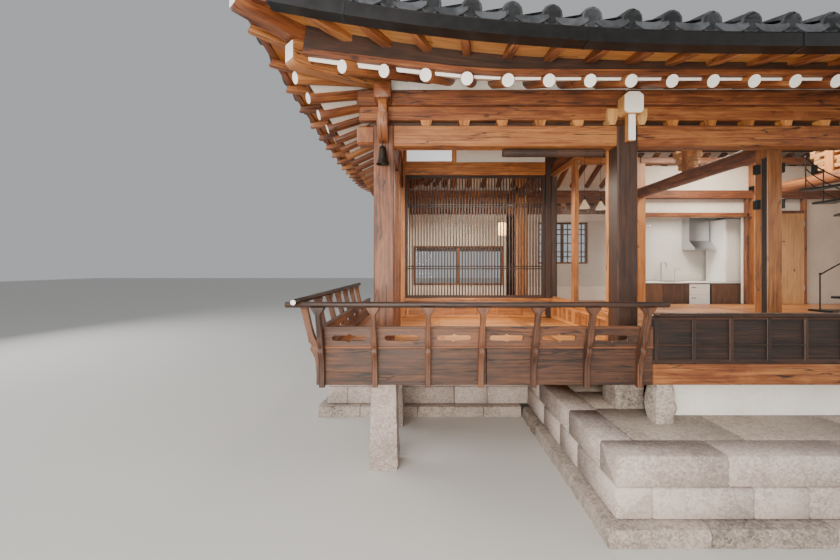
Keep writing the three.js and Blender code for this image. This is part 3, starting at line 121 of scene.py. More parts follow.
def add(tree, kind, links=None, marks=(), **settings):
    """Adds one shader node with its settings and links. marks are a colour ramp's (place, hex colour)."""
    made = tree.nodes.new("ShaderNode" + kind)
    for key, value in settings.items():
        setattr(made, key, value)
    join(tree, made, links or {})
    if marks:
        points = made.color_ramp.elements
        while len(points) < len(marks):
            points.new(0.5)
        for point, (place, code) in zip(points, sorted(marks)):
            point.position = place
            point.color = linear(code)
    return made


def new_material(name):
    """A new finish: the material, its node tree and its surface shader."""
    made = bpy.data.materials.new(name)
    made.use_nodes = True
    tree = made.node_tree
    return made, tree, tree.nodes["Principled BSDF"]


print("paint white is", linear("#ffffff"))


# %% [markdown]
# Pine. The house is framed in red pine, planed by hand and oiled. Early and late wood show as long
# streaks, knots as dark eyes, and the timbers have split a little as they dried. Each timber's strip
# of the UV map runs along its grain in metres, and starts at its own whole ten metres across, so a
# noise of that step gives every timber its own tone. Streaks are drawn 10 mm wide, coarser than life,
# because the 2 mm rings would not show.

# %% Pine recipe
# Scales of the patterns per metre of the map, along the grain and across it.
STREAKS = (0.9, 34, 1)
BANDS = (1.5, 7, 1)
KNOTS = (3.2, 5.4, 1)
LONG_CRACKS = (1.1, 15, 1)
KNOT_BROWN, CRACK_BROWN = "#2b150b", "#170b06"


def pine(name, light, middle, dark, rough=0.5, shine=0.35, cracks=0.51):
    """Oiled wood. Its tone is 0.55 of fine streaks and 0.45 of broad bands, up to 0.1 lighter or darker
    by the timber's own random number. A knot is the middle of about one cell in four. A crack is where a
    long noise passes one half, in the areas whose slow noise is above the value of cracks."""
    made, tree, surface = new_material(name)
    place = add(tree, "UVMap", uv_map="grain")
    split = add(tree, "SeparateXYZ", {0: (place, "UV")})
    strip = add(tree, "Math", {0: (split, "Y"), 1: 0.1}, operation="MULTIPLY")
    whole = add(tree, "Math", {0: (strip, 0)}, operation="FLOOR")
    tone = add(tree, "TexWhiteNoise", {"W": (whole, 0)}, noise_dimensions="1D")
    along = add(tree, "Mapping", {"Vector": (place, "UV"), "Scale": STREAKS})
    streak = add(tree, "TexNoise", {"Vector": (along, 0), "Scale": 1.6, "Detail": 6,
                                    "Roughness": 0.62, "Distortion": 0.5})
    wide = add(tree, "Mapping", {"Vector": (place, "UV"), "Scale": BANDS})
    bands = add(tree, "TexNoise", {"Vector": (wide, 0), "Scale": 1.3, "Detail": 5,
                                   "Roughness": 0.68, "Distortion": 1.0})
    mixed = add(tree, "Mix", {0: 0.45, 2: (streak, "Fac"), 3: (bands, "Fac")}, data_type="FLOAT")
    own = add(tree, "Math", {0: (tone, "Value"), 1: 0.20, 2: -0.10}, operation="MULTIPLY_ADD")
    value = add(tree, "Math", {0: (mixed, 0), 1: (own, 0)}, operation="ADD")
    colour = add(tree, "ValToRGB", {"Fac": (value, 0)}, [(0.33, dark), (0.48, middle), (0.66, light)])
    eye = add(tree, "Mapping", {"Vector": (place, "UV"), "Scale": KNOTS})
    cell = add(tree, "TexVoronoi", {"Vector": (eye, 0), "Scale": 1.0, "Randomness": 1.0})
    knot = add(tree, "ValToRGB", {"Fac": (cell, "Distance")},
               [(0.0, "#ffffff"), (0.09, "#dcdcdc"), (0.15, "#000000")])
    rare = add(tree, "SeparateColor", {0: (cell, "Color")})
    often = add(tree, "Math", {0: (rare, 0), 1: 0.74}, operation="GREATER_THAN")
    shown = add(tree, "Math", {0: (knot, "Color"), 1: (often, 0)}, operation="MULTIPLY")
    eyed = add(tree, "Mix", {0: (shown, 0), 6: (colour, "Color"), 7: linear(KNOT_BROWN)}, data_type="RGBA")
    long = add(tree, "Mapping", {"Vector": (place, "UV"), "Scale": LONG_CRACKS})
    dry = add(tree, "TexNoise", {"Vector": (long, 0), "Scale": 1.0, "Detail": 2, "Distortion": 0.25})
    gap = add(tree, "ValToRGB", {"Fac": (dry, "Fac")},
              [(0.482, "#000000"), (0.5, "#ffffff"), (0.518, "#000000")])
    area = add(tree, "TexNoise", {"Vector": (wide, 0), "Scale": 0.8, "Detail": 1})
    some = add(tree, "Math", {0: (area, "Fac"), 1: cracks}, operation="GREATER_THAN")
    crack = add(tree, "Math", {0: (gap, "Color"), 1: (some, 0)}, operation="MULTIPLY")
    final = add(tree, "Mix", {0: (crack, 0), 6: (eyed, 2), 7: linear(CRACK_BROWN)}, data_type="RGBA")
    depth = add(tree, "Math", {0: (crack, 0), 1: -1.4, 2: (streak, "Fac")}, operation="MULTIPLY_ADD")
    bump = add(tree, "Bump", {"Strength": 0.35, "Distance": 0.004, "Height": (depth, 0)})
    gloss = add(tree, "MapRange", {0: (streak, "Fac"), 3: rough - 0.1, 4: rough + 0.14})
    join(tree, surface, {"Base Color": (final, 2), "Normal": (bump, 0), "Roughness": (gloss, 0),
                         "Coat Weight": shine, "Coat Roughness": 0.35})
    return made


# %% Pines and veneers
# Oiled long ago: a warm mid brown with little shine.
AGED_PINE = pine("oiled_red_pine", "#a46c3a", "#753f1d", "#36190b", 0.55, 0.12)
# Planed and varnished later than the frame: clear streaks under a soft shine.
GOLDEN_PINE = pine("new_golden_pine", "#cf9150", "#a8682c", "#6b3a17", 0.42, 0.5, 0.62)
# Almost black, so only its edges show; on the two middle front posts this dark is painted shade of their
# faces.
DARK_PINE_AND_SHADE = pine("dark_pine_and_painted_shade", "#452a1b", "#2a180e", "#120a05", 0.55, 0.12)
# Rained on under the eave: duller and browner.
WEATHERED_PINE = pine("weathered_brown_pine", "#7a4a2b", "#50301c", "#26140b", 0.58, 0.1)
# Sliced veneers on the door and the kitchen fronts: even, with hardly a crack.
LIGHT_OAK = pine("light_oak_veneer", "#d8ae78", "#bf8f56", "#9a6c3a", 0.45, 0.3, 0.8)
WALNUT = pine("walnut_veneer", "#7a5238", "#5b3a26", "#3a2417", 0.4, 0.4, 0.9)
print("woods", len(bpy.data.materials))

# %% [markdown]
# White ends and the plainer finishes. The sawn ends of rafters and beams are painted with white shell
# lime to keep rain out of the end grain. The paint is matt and a little uneven. Plaster, painted steel,
# sheet, lacquer, honed stone, cane and bronze are made by the same recipe, each with its own gloss.

# %% Paint, plaster and simple finishes
def speckled(name, light, dark, scale, rough, bump_mm, metal=0.0):
    """A colour between two shades by the mean of a fine and a slow noise, and a relief of bump_mm."""
    made, tree, surface = new_material(name)
    place = add(tree, "TexCoord")
    grain = add(tree, "TexNoise", {"Vector": (place, "Object"), "Scale": scale, "Detail": 5,
                                   "Roughness": 0.6})
    cloud = add(tree, "TexNoise", {"Vector": (place, "Object"), "Scale": 2.1, "Detail": 3})
    both = add(tree, "Mix", {0: 0.5, 2: (grain, "Fac"), 3: (cloud, "Fac")}, data_type="FLOAT")
    colour = add(tree, "ValToRGB", {"Fac": (both, 0)}, [(0.34, dark), (0.62, light)])
    bump = add(tree, "Bump", {"Strength": 0.5, "Distance": bump_mm / 1000, "Height": (grain, "Fac")})
    join(tree, surface, {"Base Color": (colour, 0), "Normal": (bump, 0), "Roughness": rough,
                         "Metallic": metal})
    return made


# Brushed on thick: matt, bright, with faint grey clouds.
WHITE_ENDS = speckled("shell_lime_paint", "#f2efe8", "#d9d4c9", 60, 0.75, 0.4)
# Floated by hand: a soft, chalky face.
LIME_PLASTER = speckled("lime_plaster", "#eeeae1", "#dcd6ca", 35, 0.85, 0.8)
# Sprayed enamel over steel, and folded sheet left dull: dark, with a low sheen along each edge.
BLACK_STEEL = speckled("black_painted_steel", "#232427", "#131416", 90, 0.38, 0.15, 0.55)
GUTTER_STEEL = speckled("dark_bronze_sheet", "#262423", "#141313", 12, 0.46, 0.3, 0.6)
# Sprayed and polished fronts: smooth, with a clear reflection.
WHITE_LACQUER = speckled("white_lacquer", "#f1f1ee", "#e6e6e2", 8, 0.22, 0.05)
# Rubbed flat and not polished: an even, silky grey.
FLOOR_STONE = speckled("honed_grey_stone", "#9b9892", "#7f7c77", 120, 0.5, 0.2)
# Split and stained cane, and bronze cast in sand: both dull, with a coarse skin.
CANE = speckled("dark_split_cane", "#4a3020", "#24160e", 45, 0.7, 1.2)
CAST_BRONZE = speckled("aged_bronze", "#41372a", "#1e1a15", 60, 0.5, 0.4, 0.8)


def bright_metal(name, code, rough):
    """Brushed metal: its roughness follows a noise drawn out 80 times longer sideways than upwards."""
    made, tree, surface = new_material(name)
    place = add(tree, "TexCoord")
    brushed = add(tree, "Mapping", {"Vector": (place, "Object"), "Scale": (4, 4, 320)})
    lines = add(tree, "TexNoise", {"Vector": (brushed, 0), "Scale": 3, "Detail": 3})
    gloss = add(tree, "MapRange", {0: (lines, "Fac"), 3: rough - 0.06, 4: rough + 0.1})
    join(tree, surface, {"Base Color": linear(code), "Metallic": 1, "Roughness": (gloss, 0)})
    return made


# Rolled and brushed: bright, with a reflection smeared along the brush marks.
STEEL = bright_metal("brushed_stainless", "#c4c6c8", 0.28)


def clear(name, code, rough, strength=0.0, glow="#ffd9a0"):
    """Glass as a faint film that lets light straight through, with a clear shine on top; lit glass is
    nearly opaque and glows with the given strength."""
    made, tree, surface = new_material(name)
    join(tree, surface, {"Base Color": linear(code), "Roughness": rough, "Alpha": 0.9 if strength else 0.05,
                         "Emission Color": linear(glow), "Emission Strength": strength})
    return made


# Float glass shows by its reflections alone; the lamp glass and the paper shade glow softly.
WINDOW_GLASS = clear("float_glass", "#5d6b6b", 0.03)
LAMP_GLASS = clear("pale_lamp_glass", "#d8d6cf", 0.12, 0.35)
PAPER_SHADE = clear("lit_paper_shade", "#ffd9a0", 0.6, 3.2)
print("finishes", len(bpy.data.materials))

# %% [markdown]
# Surfaces. Every piece below is a grid of points: rows follow a path, columns go round a closed section.
# Timbers, tiles and stones could be cubes with a bevel modifier, but whole arrays of rings are quicker
# for the many hundreds here, and they carry the grain map along with them. A piece is a list of such
# skins, each a tuple of points, four-cornered faces, map corners and a finish number.

# %% Rings to skins
strips = 0


def ring_faces(rows, across):
    """Faces of a closed tube of rows by across points, and of the two caps that close its ends."""
    i, j = np.meshgrid(np.arange(rows - 1), np.arange(across), indexing="ij")
    k = (j + 1) % across
    tube = np.stack([i * across + j, (i + 1) * across + j, (i + 1) * across + k, i * across + k], -1)
    m = np.arange(across // 2 - 1)
    cap = np.stack([m, m + 1, across - 2 - m, across - 1 - m], -1)
    return tube.reshape(-1, 4), cap, cap[:, ::-1] + (rows - 1) * across


def loft(rings, slot=0, caps=(0, 0)):
    """Skin over closed rings (rows, columns, 3). The map is (length along the path, way round the ring),
    and each skin's strip starts at its own whole ten metres. caps gives each end's finish, or None."""
    global strips
    strips += 1
    rings = np.asarray(rings, float)
    rows, across = rings.shape[:2]
    tube, first, last = ring_faces(rows, across)
    middle = rings.mean(1)
    run = np.linalg.norm(np.diff(middle, axis=0), axis=1).cumsum()
    along = np.append(0, run) + (strips * 0.37) % 3
    step = np.linalg.norm(np.roll(rings, -1, 1) - rings, axis=2).mean(0)
    around = np.append(0, step.cumsum()) + 10.0 * strips
    i, j = np.meshgrid(np.arange(rows - 1), np.arange(across), indexing="ij")
    corner = [(along[i + a], around[j + b]) for a, b in ((0, 0), (1, 0), (1, 1), (0, 1))]
    uv = np.stack([np.stack(c, -1) for c in corner], 2).reshape(-1, 4, 2)
    faces, maps, slots = [tube], [uv], [np.full(len(tube), slot)]
    for cap, row, finish in ((first, 0, caps[0]), (last, rows - 1, caps[1])):
        if finish is None:
            continue
        flat = rings.reshape(-1, 3)
        one = rings[row, 1] - rings[row, 0]
        one = one / (np.linalg.norm(one) + 1e-9)
        two = np.cross(np.cross(one, rings[row, across // 2] - rings[row, 0]), one)
        two = two / (np.linalg.norm(two) + 1e-9)
        here = flat[cap] - middle[row]
        faces.append(cap)
        maps.append(np.stack([here @ one + along[0], here @ two + 10.0 * strips + 5], -1))
        slots.append(np.full(len(cap), finish))
    return rings.reshape(-1, 3), np.concatenate(faces), np.concatenate(maps), np.concatenate(slots)


def track(x, y, z):
    """Rows of (x, y, z), one for each point of a path; a single value serves all rows."""
    return np.column_stack(np.broadcast_arrays(x, y, z))


def circle(turn):
    """The points (cos, sin) of a unit circle at the angles of turn."""
    return np.stack([np.cos(turn), np.sin(turn)], -1)


def frames(path, up):
    """Unit side and up arrows along a path: side = forward x up, and up = side x forward."""
    forward = np.gradient(path, axis=0)
    forward /= np.linalg.norm(forward, axis=1)[:, None]
    side = np.cross(forward, up)
    side /= np.linalg.norm(side, axis=1)[:, None]
    return side, np.cross(side, forward)


def sweep(path, section, up=(0, 0, 1), slot=0, caps=(0, 0)):
    """A section of (side, up) points, anticlockwise, carried along a path. One section may serve all
    rows, or each row may have its own."""
    path = np.asarray(path, float)
    section = np.broadcast_to(np.asarray(section, float), (len(path), *np.shape(section)[-2:]))
    side, high = frames(path, np.asarray(up, float))
    rings = path[:, None] + side[:, None] * section[..., :1] + high[:, None] * section[..., 1:]
    return loft(rings, slot, caps)


def octagon(wide, high, edge):
    """A rectangle with its four edges planed off."""
    w, h = wide / 2, high / 2
    e = min(edge, w * 0.8, h * 0.8)
    return np.array([(-w + e, -h), (w - e, -h), (w, -h + e), (w, h - e),
                     (w - e, h), (-w + e, h), (-w, h - e), (-w, -h + e)])


def beam(start, end, wide, high, up=(0, 0, 1), edge=0.006, slot=0, caps=(0, 0)):
    """A planed timber between two points, with all its edges taken off, the ends too."""
    start, end = np.asarray(start, float), np.asarray(end, float)
    length = np.linalg.norm(end - start)
    nip = min(edge, length / 4)
    places = np.array([0, nip, length - nip, length]) / length
    path = start + (end - start) * places[:, None]
    full = octagon(wide, high, edge)
    small = full * (1 - 2 * nip / np.array([wide, high]))
    return sweep(path, np.stack([small, full, full, small]), up, slot, caps)


def pole(path, radius, sides=12, up=(0, 0, 1), slot=0, caps=(0, 0)):
    """A round bar along a path; the radius may change from row to row."""
    turn = np.arange(sides) / sides * 2 * np.pi
    path = np.asarray(path, float)
    radii = np.broadcast_to(np.asarray(radius, float), len(path))
    return sweep(path, circle(turn)[None] * radii[:, None, None], up, slot, caps)


def board(x0, x1, y0, y1, z0, z1, edge=0.004, slot=0):
    """An upright or lying timber between two opposite corners, its grain along its longest side."""
    low, high = np.array([x0, y0, z0], float), np.array([x1, y1, z1], float)
    size = high - low
    axis = int(size.argmax())
    start, end = (low + high) / 2, (low + high) / 2
    start[axis], end[axis] = low[axis], high[axis]
    up = (0, 0, 1) if axis < 2 else (0, 1, 0)
    wide, tall = [(size[1], size[2]), (size[0], size[2]), (size[0], size[1])][axis]
    return beam(start, end, wide, tall, up, edge, slot, (slot, slot))


def boards(*sizes):
    """One board for each set of sizes."""
    return [board(*size) for size in sizes]


def upright_loft(path, section, caps=(0, 0)):
    """A skin whose rings stand upright across Y: a section's (side, up) points are X and Z at its place."""
    rings = path[:, None] + np.stack([section[..., 0], 0 * section[..., 0], section[..., 1]], -1)
    return loft(rings[:, ::-1], 0, caps)


def block_loft(x, y, half, level, slot):
    """An upright block: at each level a rectangle about (x, y) with its own half sizes along X and Y."""
    square = np.array([(-1, -1), (1, -1), (1, 1), (-1, 1)])
    height = np.tile(level[:, None, None], (1, 4, 1))
    rings = np.concatenate([square * half[:, None] + (x, y), height], -1)
    return loft(rings[:, ::-1], slot)


def mirrored(bits, x=1, y=1):
    """The same skins on the other side of the house; a mirror image has its faces turned round."""
    way = -1 if x * y < 0 else 1
    return [(p * (x, y, 1), f[:, ::way], u[:, ::way], s) for p, f, u, s in bits]


def turned(bits, angle, by=(0, 0, 0)):
    """Skins turned about the upright axis, then moved."""
    c, s = math.cos(angle), math.sin(angle)
    spin = np.array([[c, s, 0], [-s, c, 0], [0, 0, 1]])
    return [(p @ spin + np.asarray(by, float), f, u, t) for p, f, u, t in bits]


# %% Skins to a piece
pieces_made = {}


def make(name, bits, finishes, stands_for=(), body="house", sharp=38):
    """One mesh from a list of skins, smooth but for edges sharper than an angle, riding on a body."""
    counts = np.cumsum([0] + [len(b[0]) for b in bits])
    faces = np.concatenate([b[1] + n for b, n in zip(bits, counts)])
    mesh = bpy.data.meshes.new(name)
    points = np.concatenate([b[0] for b in bits])
    mesh.vertices.add(len(points))
    mesh.vertices.foreach_set("co", points.ravel())
    mesh.loops.add(faces.size)
    mesh.loops.foreach_set("vertex_index", faces.ravel())
    mesh.polygons.add(len(faces))
    mesh.polygons.foreach_set("loop_start", np.arange(len(faces)) * 4)
    mesh.polygons.foreach_set("material_index", np.concatenate([b[3] for b in bits]))
    mesh.polygons.foreach_set("use_smooth", np.ones(len(faces), bool))
    mesh.uv_layers.new(name="grain").data.foreach_set("uv", np.concatenate([b[2] for b in bits]).ravel())
    mesh.update(calc_edges=True)
    mesh.set_sharp_from_angle(angle=math.radians(sharp))
    for finish in finishes:
        mesh.materials.append(finish)
    piece = bpy.data.objects.new(name, mesh)
    bpy.context.scene.collection.objects.link(piece)
    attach(piece, body)
    if stands_for:
        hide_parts(*stands_for)
    pieces_made[name] = len(faces)
    print("piece", name, "faces", len(faces))


# %% [markdown]
# Posts, lintels and purlins. Squared pine posts stand on the foundation stones and a lintel runs through
# their heads. On it sit small sawn bearing blocks, a narrow bearer and the purlin. Each is a chamfered
# section carried along its length; every edge is planed off a little, which is what catches the light.

# %% Plan and levels, in metres
LINES = np.array([-4.8, -2.4, 0, 2.4, 4.8])
END_X, FRONT_Y, INNER_Y = 4.8, 2.55, 1.5
SILL, FLOOR = 0.95, 1.22
LINTEL_LOW, LINTEL_TOP = 3.18, 3.384
BEARER_LOW, PURLIN_LOW, PURLIN_TOP = 3.446, 3.585, 3.735
TAIL = 0.27
TIMBER = [AGED_PINE, WHITE_ENDS, DARK_PINE_AND_SHADE, GOLDEN_PINE]
print("bays", np.diff(LINES), "floor at", FLOOR, "lintel from", LINTEL_LOW)


# %% Timbers of a row
def post(x, y, slot=0):
    """A squared post, 200 mm wide, from its foundation stone to the top of the lintel."""
    return beam((x, y, SILL), (x, y, LINTEL_TOP), 0.2, 0.2, (0, 1, 0), 0.011, slot)


def bearing_block(x, y, along_x=True):
    """A sawn block: half widths of 42 mm at its foot and 58 mm at its top, its edges just broken."""
    half = np.array([(0.038, 0.055), (0.0425, 0.055), (0.057, 0.055), (0.054, 0.055)])
    level = np.array([LINTEL_TOP, LINTEL_TOP + 0.004, BEARER_LOW - 0.004, BEARER_LOW])
    return block_loft(x, y, half if along_x else half[:, ::-1], level, 3)


def shaped_end(x, y, low, top, out, wide):
    """A short cantilevered piece under the bearer, its nose cut in a hollow curve below."""
    reach = np.array([-0.02, 0.06, 0.13, 0.19, 0.235, out])
    under = low + (top - low) * np.array([0, 0, 0.04, 0.16, 0.36, 0.55])
    path = track(x, y - reach, (under + top) / 2)
    return upright_loft(path, np.stack([octagon(wide, tall, 0.006) for tall in top - under]))


def long_row(slots=(0, 0, 0, 0, 0)):
    """The front or back row: posts, lintels between them, tails past the corners."""
    y = -FRONT_Y
    bits = [post(x, y, slot) for x, slot in zip(LINES, slots)]
    for a, b in pairwise(LINES):
        bits.append(board(a + 0.09, b - 0.09, y - 0.08, y + 0.08, LINTEL_LOW, LINTEL_TOP, 0.01))
    for side in (-1, 1):
        tail = board(END_X + 0.09, END_X + TAIL, y - 0.08, y + 0.08, LINTEL_LOW + 0.02, LINTEL_TOP, 0.02)
        bits += mirrored([tail], side)
        x = side * END_X
        bits.append(shaped_end(x, y, LINTEL_LOW + 0.015, BEARER_LOW, TAIL, 0.1))
        bits.append(board(x - 0.05, x + 0.05, y, y + 0.1, LINTEL_TOP, BEARER_LOW))
    return bits


def side_row():
    """The left row: its two inner posts, and a lintel from post to post."""
    x = -END_X
    bits = [post(x, y) for y in (-INNER_Y, INNER_Y)]
    for a, b in ((-2.45, -1.59), (-1.41, 1.41), (1.59, 2.45)):
        bits.append(board(x - 0.08, x + 0.08, a, b, LINTEL_LOW, LINTEL_TOP, 0.01))
    return bits


def long_purlin():
    """The front purlin and its bearer in four lengths that meet over the posts, a dark board behind the
    bearing blocks, the tails that cross the corners, and four groups of five blocks 378 mm apart."""
    y = -FRONT_Y
    reach = END_X + TAIL
    bits = []
    for a, b in pairwise((-reach, *LINES[1:-1], reach)):
        bits.append(board(a + 0.001, b - 0.001, y - 0.09, y + 0.09, PURLIN_LOW, PURLIN_TOP, 0.012))
        bits.append(board(a + 0.02, b - 0.001, y - 0.05, y + 0.05, BEARER_LOW, PURLIN_LOW, 0.006))
        bits.append(board(a + 0.12, b - 0.12, y + 0.02, y + 0.035, LINTEL_TOP + 0.001, BEARER_LOW - 0.001,
                          0.002, 2))
    for x in (-END_X, END_X):
        bits.append(board(x - 0.08, x + 0.08, y - TAIL, y - 0.06, PURLIN_LOW, PURLIN_TOP, 0.012))
        bits.append(board(x - 0.04, x + 0.04, y - TAIL + 0.03, y - 0.04, BEARER_LOW, PURLIN_LOW))
    for first in (END_X - 0.419, END_X - 2.872):
        for x in first - 0.378 * np.arange(5):
            bits += [bearing_block(-x, y), bearing_block(x, y)]
    return bits


def side_purlin():
    """The left purlin and its bearer between the corners, with seven bearing blocks under them."""
    x = -END_X
    bits = [board(x - 0.09, x + 0.09, -2.46, 2.46, PURLIN_LOW, PURLIN_TOP, 0.012),
            board(x - 0.05, x + 0.05, -2.46, 2.46, BEARER_LOW, PURLIN_LOW)]
    return bits + [bearing_block(x, y, False) for y in (-2.02, -1, -0.5, 0, 0.5, 1, 2.02)]


# %% Posts, lintels, purlins
def dress(node, bits, x=1, y=1):
    """The timbers of one solid, mirrored where x or y is -1, in the place of that solid."""
    make(node + "_timbers", mirrored(bits, x, y), TIMBER, (node,))


# The two middle front posts take the darkest pine: painted shade of their front faces.
dress("front_frame", long_row((0, 2, 2, 0, 0)))
dress("rear_frame", long_row(), 1, -1)
dress("left_frame", side_row())
dress("right_frame", side_row(), -1)
dress("front_purlin", long_purlin())
dress("rear_purlin", long_purlin(), 1, -1)
dress("left_purlin", side_purlin())
dress("right_purlin", side_purlin(), -1)

# %% [markdown]
# Eaves. Round rafters reach past the walls, and square flying rafters on their backs reach further. The
# eave rises and swings out towards each corner, where the rafters fan out from the crossing of the
# inner purlins. The formulas are those of the solids, so the fine surfaces lie on the same places.

# %% The curve of the roof
FLY_OUT, RAFTER_OUT = 0.964, 0.682
EAVE_X, EAVE_Y = END_X + FLY_OUT, FRONT_Y + FLY_OUT
HIP_RUN = EAVE_Y - INNER_Y
GABLE_X = EAVE_X - HIP_RUN
RAFTER_LINE = FLY_OUT - RAFTER_OUT
LIFT, CORNER_OUT = 0.356, 0.08
STEP = 2.4 / 7
RAFTER_END, RAFTER_SLOPE, RAFTER_RADIUS = 3.535, 0.444, 0.0575
RAFTER_INNER = RAFTER_END + RAFTER_SLOPE * (FRONT_Y + RAFTER_OUT - INNER_Y)
BED_MARKS = ([0, RAFTER_LINE, HIP_RUN, EAVE_Y], [3.663, 3.748, 4.3657, 5.2])
CORNER_RISE = 0.158


def lift(distance):
    """Share of the corner's rise: (1 - distance / 4.5 m) to the power 2.8, and none past 4.5 m."""
    return np.clip(1 - np.asarray(distance, float) / 4.5, 0, None) ** 2.8


def rafter_end(distance):
    """Height of a round rafter's end: 158 mm more at the corner, on a curve 1.9 m long."""
    return RAFTER_END + CORNER_RISE * np.clip(1 - np.asarray(distance, float) / 1.9, 0, None) ** 1.15


def bed_top(d):
    """Height of the roof's clay bed, d inside the tips of the eave: 3.785 + 0.34 d + 0.0466 d squared."""
    return 3.785 + 0.34 * d + 0.0466 * d * d


def bed_low(d):
    """Height of its underside: straight lines between the marks at the tips, rafters, hips and ridge."""
    return np.interp(d, *BED_MARKS)


def fan(along, run, half_eave, gable, edge):
    """A rafter's start, end and tip: straight between the gable lines and fanned past them."""
    start = math.copysign(min(abs(along), gable), along)
    c = float(lift(half_eave - abs(along)))
    end = edge - RAFTER_LINE + CORNER_OUT * c
    grow = (edge + CORNER_OUT * c - run) / (end - run)
    tip_along = start + (along - start) * grow
    tip_c = float(lift(half_eave - abs(tip_along)))
    end_z = float(rafter_end(half_eave - abs(along)))
    return start, end, tip_along, edge + CORNER_OUT * tip_c, c, tip_c, end_z


def rays(first, run, half_eave, gable, edge):
    """The rafters of one side, a seventh of a bay apart: each one's start, end, tip, and the corner's
    share at its end and at its tip."""
    limit = half_eave - RAFTER_LINE - 2 * RAFTER_RADIUS
    found = []
    for along in first + STEP * np.arange(-2, 32):
        if abs(along) <= limit:
            start, end, tip_along, tip, c, tip_c, end_z = fan(along, run, half_eave, gable, edge)
            found.append(((start, -run), (along, -end, end_z), (tip_along, -tip), c, tip_c))
    return found


FRONT_RAYS = rays(-4.737, INNER_Y, EAVE_X, GABLE_X, EAVE_Y)
LEFT_RAYS = rays(2.707 - 16 * STEP, GABLE_X, EAVE_Y, INNER_Y, EAVE_X)
print("rafters in front", len(FRONT_RAYS), "and at the left", len(LEFT_RAYS))


# %% Rafters
def round_rafters(found):
    """Barked and shaved logs: a radius of 57.5 mm with a slow wander, thinner at the tip, ends white."""
    bits = []
    for (sx, sy), (ex, ey, ez), _, _, _ in found:
        start, end = np.array([sx, sy, RAFTER_INNER]), np.array([ex, ey, ez])
        t = np.array([0, 0.2, 0.4, 0.6, 0.8, 0.93, 0.995, 1.0])
        path = start + (end - start) * t[:, None]
        path[:, 0] += 0.004 * np.sin(7 * t + ex * 9 + ey * 5) * (t < 0.9)
        radius = 0.0565 + 0.0012 * np.sin(9 * t + ex * 4 + ey * 3)
        radius[-1] = 0.0515
        bits.append(pole(path, radius, 14, slot=0, caps=(0, 1)))
    return bits


def square_rafters(found):
    """Flying rafters, 72 mm square at the tip, the last handbreadth thinned below and at the sides."""
    bits = []
    for _, to, tip, c, tip_c in found:
        dx, dy = tip[0] - to[0], tip[1] - to[1]
        run = math.hypot(dx, dy)
        z0 = BED_MARKS[1][0] - 0.011 + LIFT * tip_c
        z1 = BED_MARKS[1][1] - 0.011 + LIFT * c * (1 - RAFTER_LINE / HIP_RUN)
        slope = (z1 - z0) / run
        back = np.array([0.003, 0.006, 0.1, 0.2, 0.56])
        wide = np.array([0.056, 0.060, 0.066, 0.072, 0.072])
        tall = np.array([0.054, 0.058, 0.066, 0.072, 0.072])
        way = np.array([dx, dy]) / run
        path = np.column_stack([np.array(tip) - way * back[:, None], z0 + slope * back - tall / 2])
        section = np.stack([octagon(w, h, 0.005) for w, h in zip(wide, tall)])
        bits.append(sweep(path[::-1], section[::-1]))
    return bits


def quarter_left(bits):
    """The left row is worked out as if it faced the front; it is swung round to face left."""
    return turned(bits, -math.pi / 2)


def front_edge(d, count=24):
    """The eave line of the front, d inside the tips: x, y and the distance from the corner."""
    fade = max(0.0, 1 - d / HIP_RUN)
    t = np.linspace(0, 1, 7)
    half = GABLE_X + (EAVE_X - d - GABLE_X) * t + CORNER_OUT * lift((1 - t) * HIP_RUN) * fade * t
    middle = np.linspace(-GABLE_X, GABLE_X, count)[1:-1]
    x = np.concatenate([-half[::-1], middle, half])
    far = np.concatenate([(1 - t[::-1]) * HIP_RUN, EAVE_X - abs(middle), (1 - t) * HIP_RUN])
    return x, -(EAVE_Y - d) - CORNER_OUT * lift(far) * fade, far, fade


def side_edge(d):
    """The eave line of the left side, worked out as if it faced the front."""
    fade = max(0.0, 1 - d / HIP_RUN)
    t = np.linspace(-1, 1, 19)
    far = EAVE_Y * (1 - abs(t))
    x = t * (EAVE_Y - d) + CORNER_OUT * fade * np.where(abs(t) == 1, t, 0)
    return x, -(EAVE_X - d) - CORNER_OUT * lift(far) * fade, far, fade


def batten_foot(far):
    """Height of the batten's foot on the ends of the round rafters: 55 mm above their axes."""
    return rafter_end(far) + 0.055


def eave_strip(edge, d, wide, low, high, foot=None):
    """A bent strip of wood that follows the eave d inside its tips, low and high above its foot line."""
    x, y, far, fade = edge(d)
    z = bed_low(d) + LIFT * lift(far) * fade if foot is None else foot(far)
    path = clear_of_hips(track(x, y, z + (low + high) / 2))
    return sweep(path, octagon(wide, high - low, 0.005))


def clear_of_hips(path, gap=0.11):
    """The same path with both ends drawn in by a gap, so that it stops beside the hip rafters."""
    for end, next_one in ((0, 1), (-1, -2)):
        step = path[next_one] - path[end]
        path[end] = path[end] + step * gap / np.linalg.norm(step)
    return path


def filler(edge):
    """The upright board between the flying rafters, from the batten up to the boards above them."""
    x, y, far, fade = edge(RAFTER_LINE + 0.045)
    low = rafter_end(far) + 0.10
    high = bed_low(RAFTER_LINE + 0.045) + LIFT * lift(far) * fade - 0.046
    path = clear_of_hips(track(x, y, (low + high) / 2))
    return sweep(path, np.stack([octagon(0.014, tall, 0.002) for tall in high - low]), slot=4)


def soffit(edge, d0, d1, drop):
    """The boards seen between the flying rafters: a thin sheet under the bed, lower by drop at its back."""
    low = []
    for d in np.linspace(d0, d1, 4):
        x, y, far, fade = edge(d)
        down = 0.002 + drop * (d - d0) / (d1 - d0)
        low.append(track(x, y, bed_low(d) + LIFT * lift(far) * fade - down))
    low = np.array(low)
    ring = np.concatenate([low, low[::-1] + (0, 0, 0.004)])
    return loft(ring[::-1].transpose(1, 0, 2), 3)


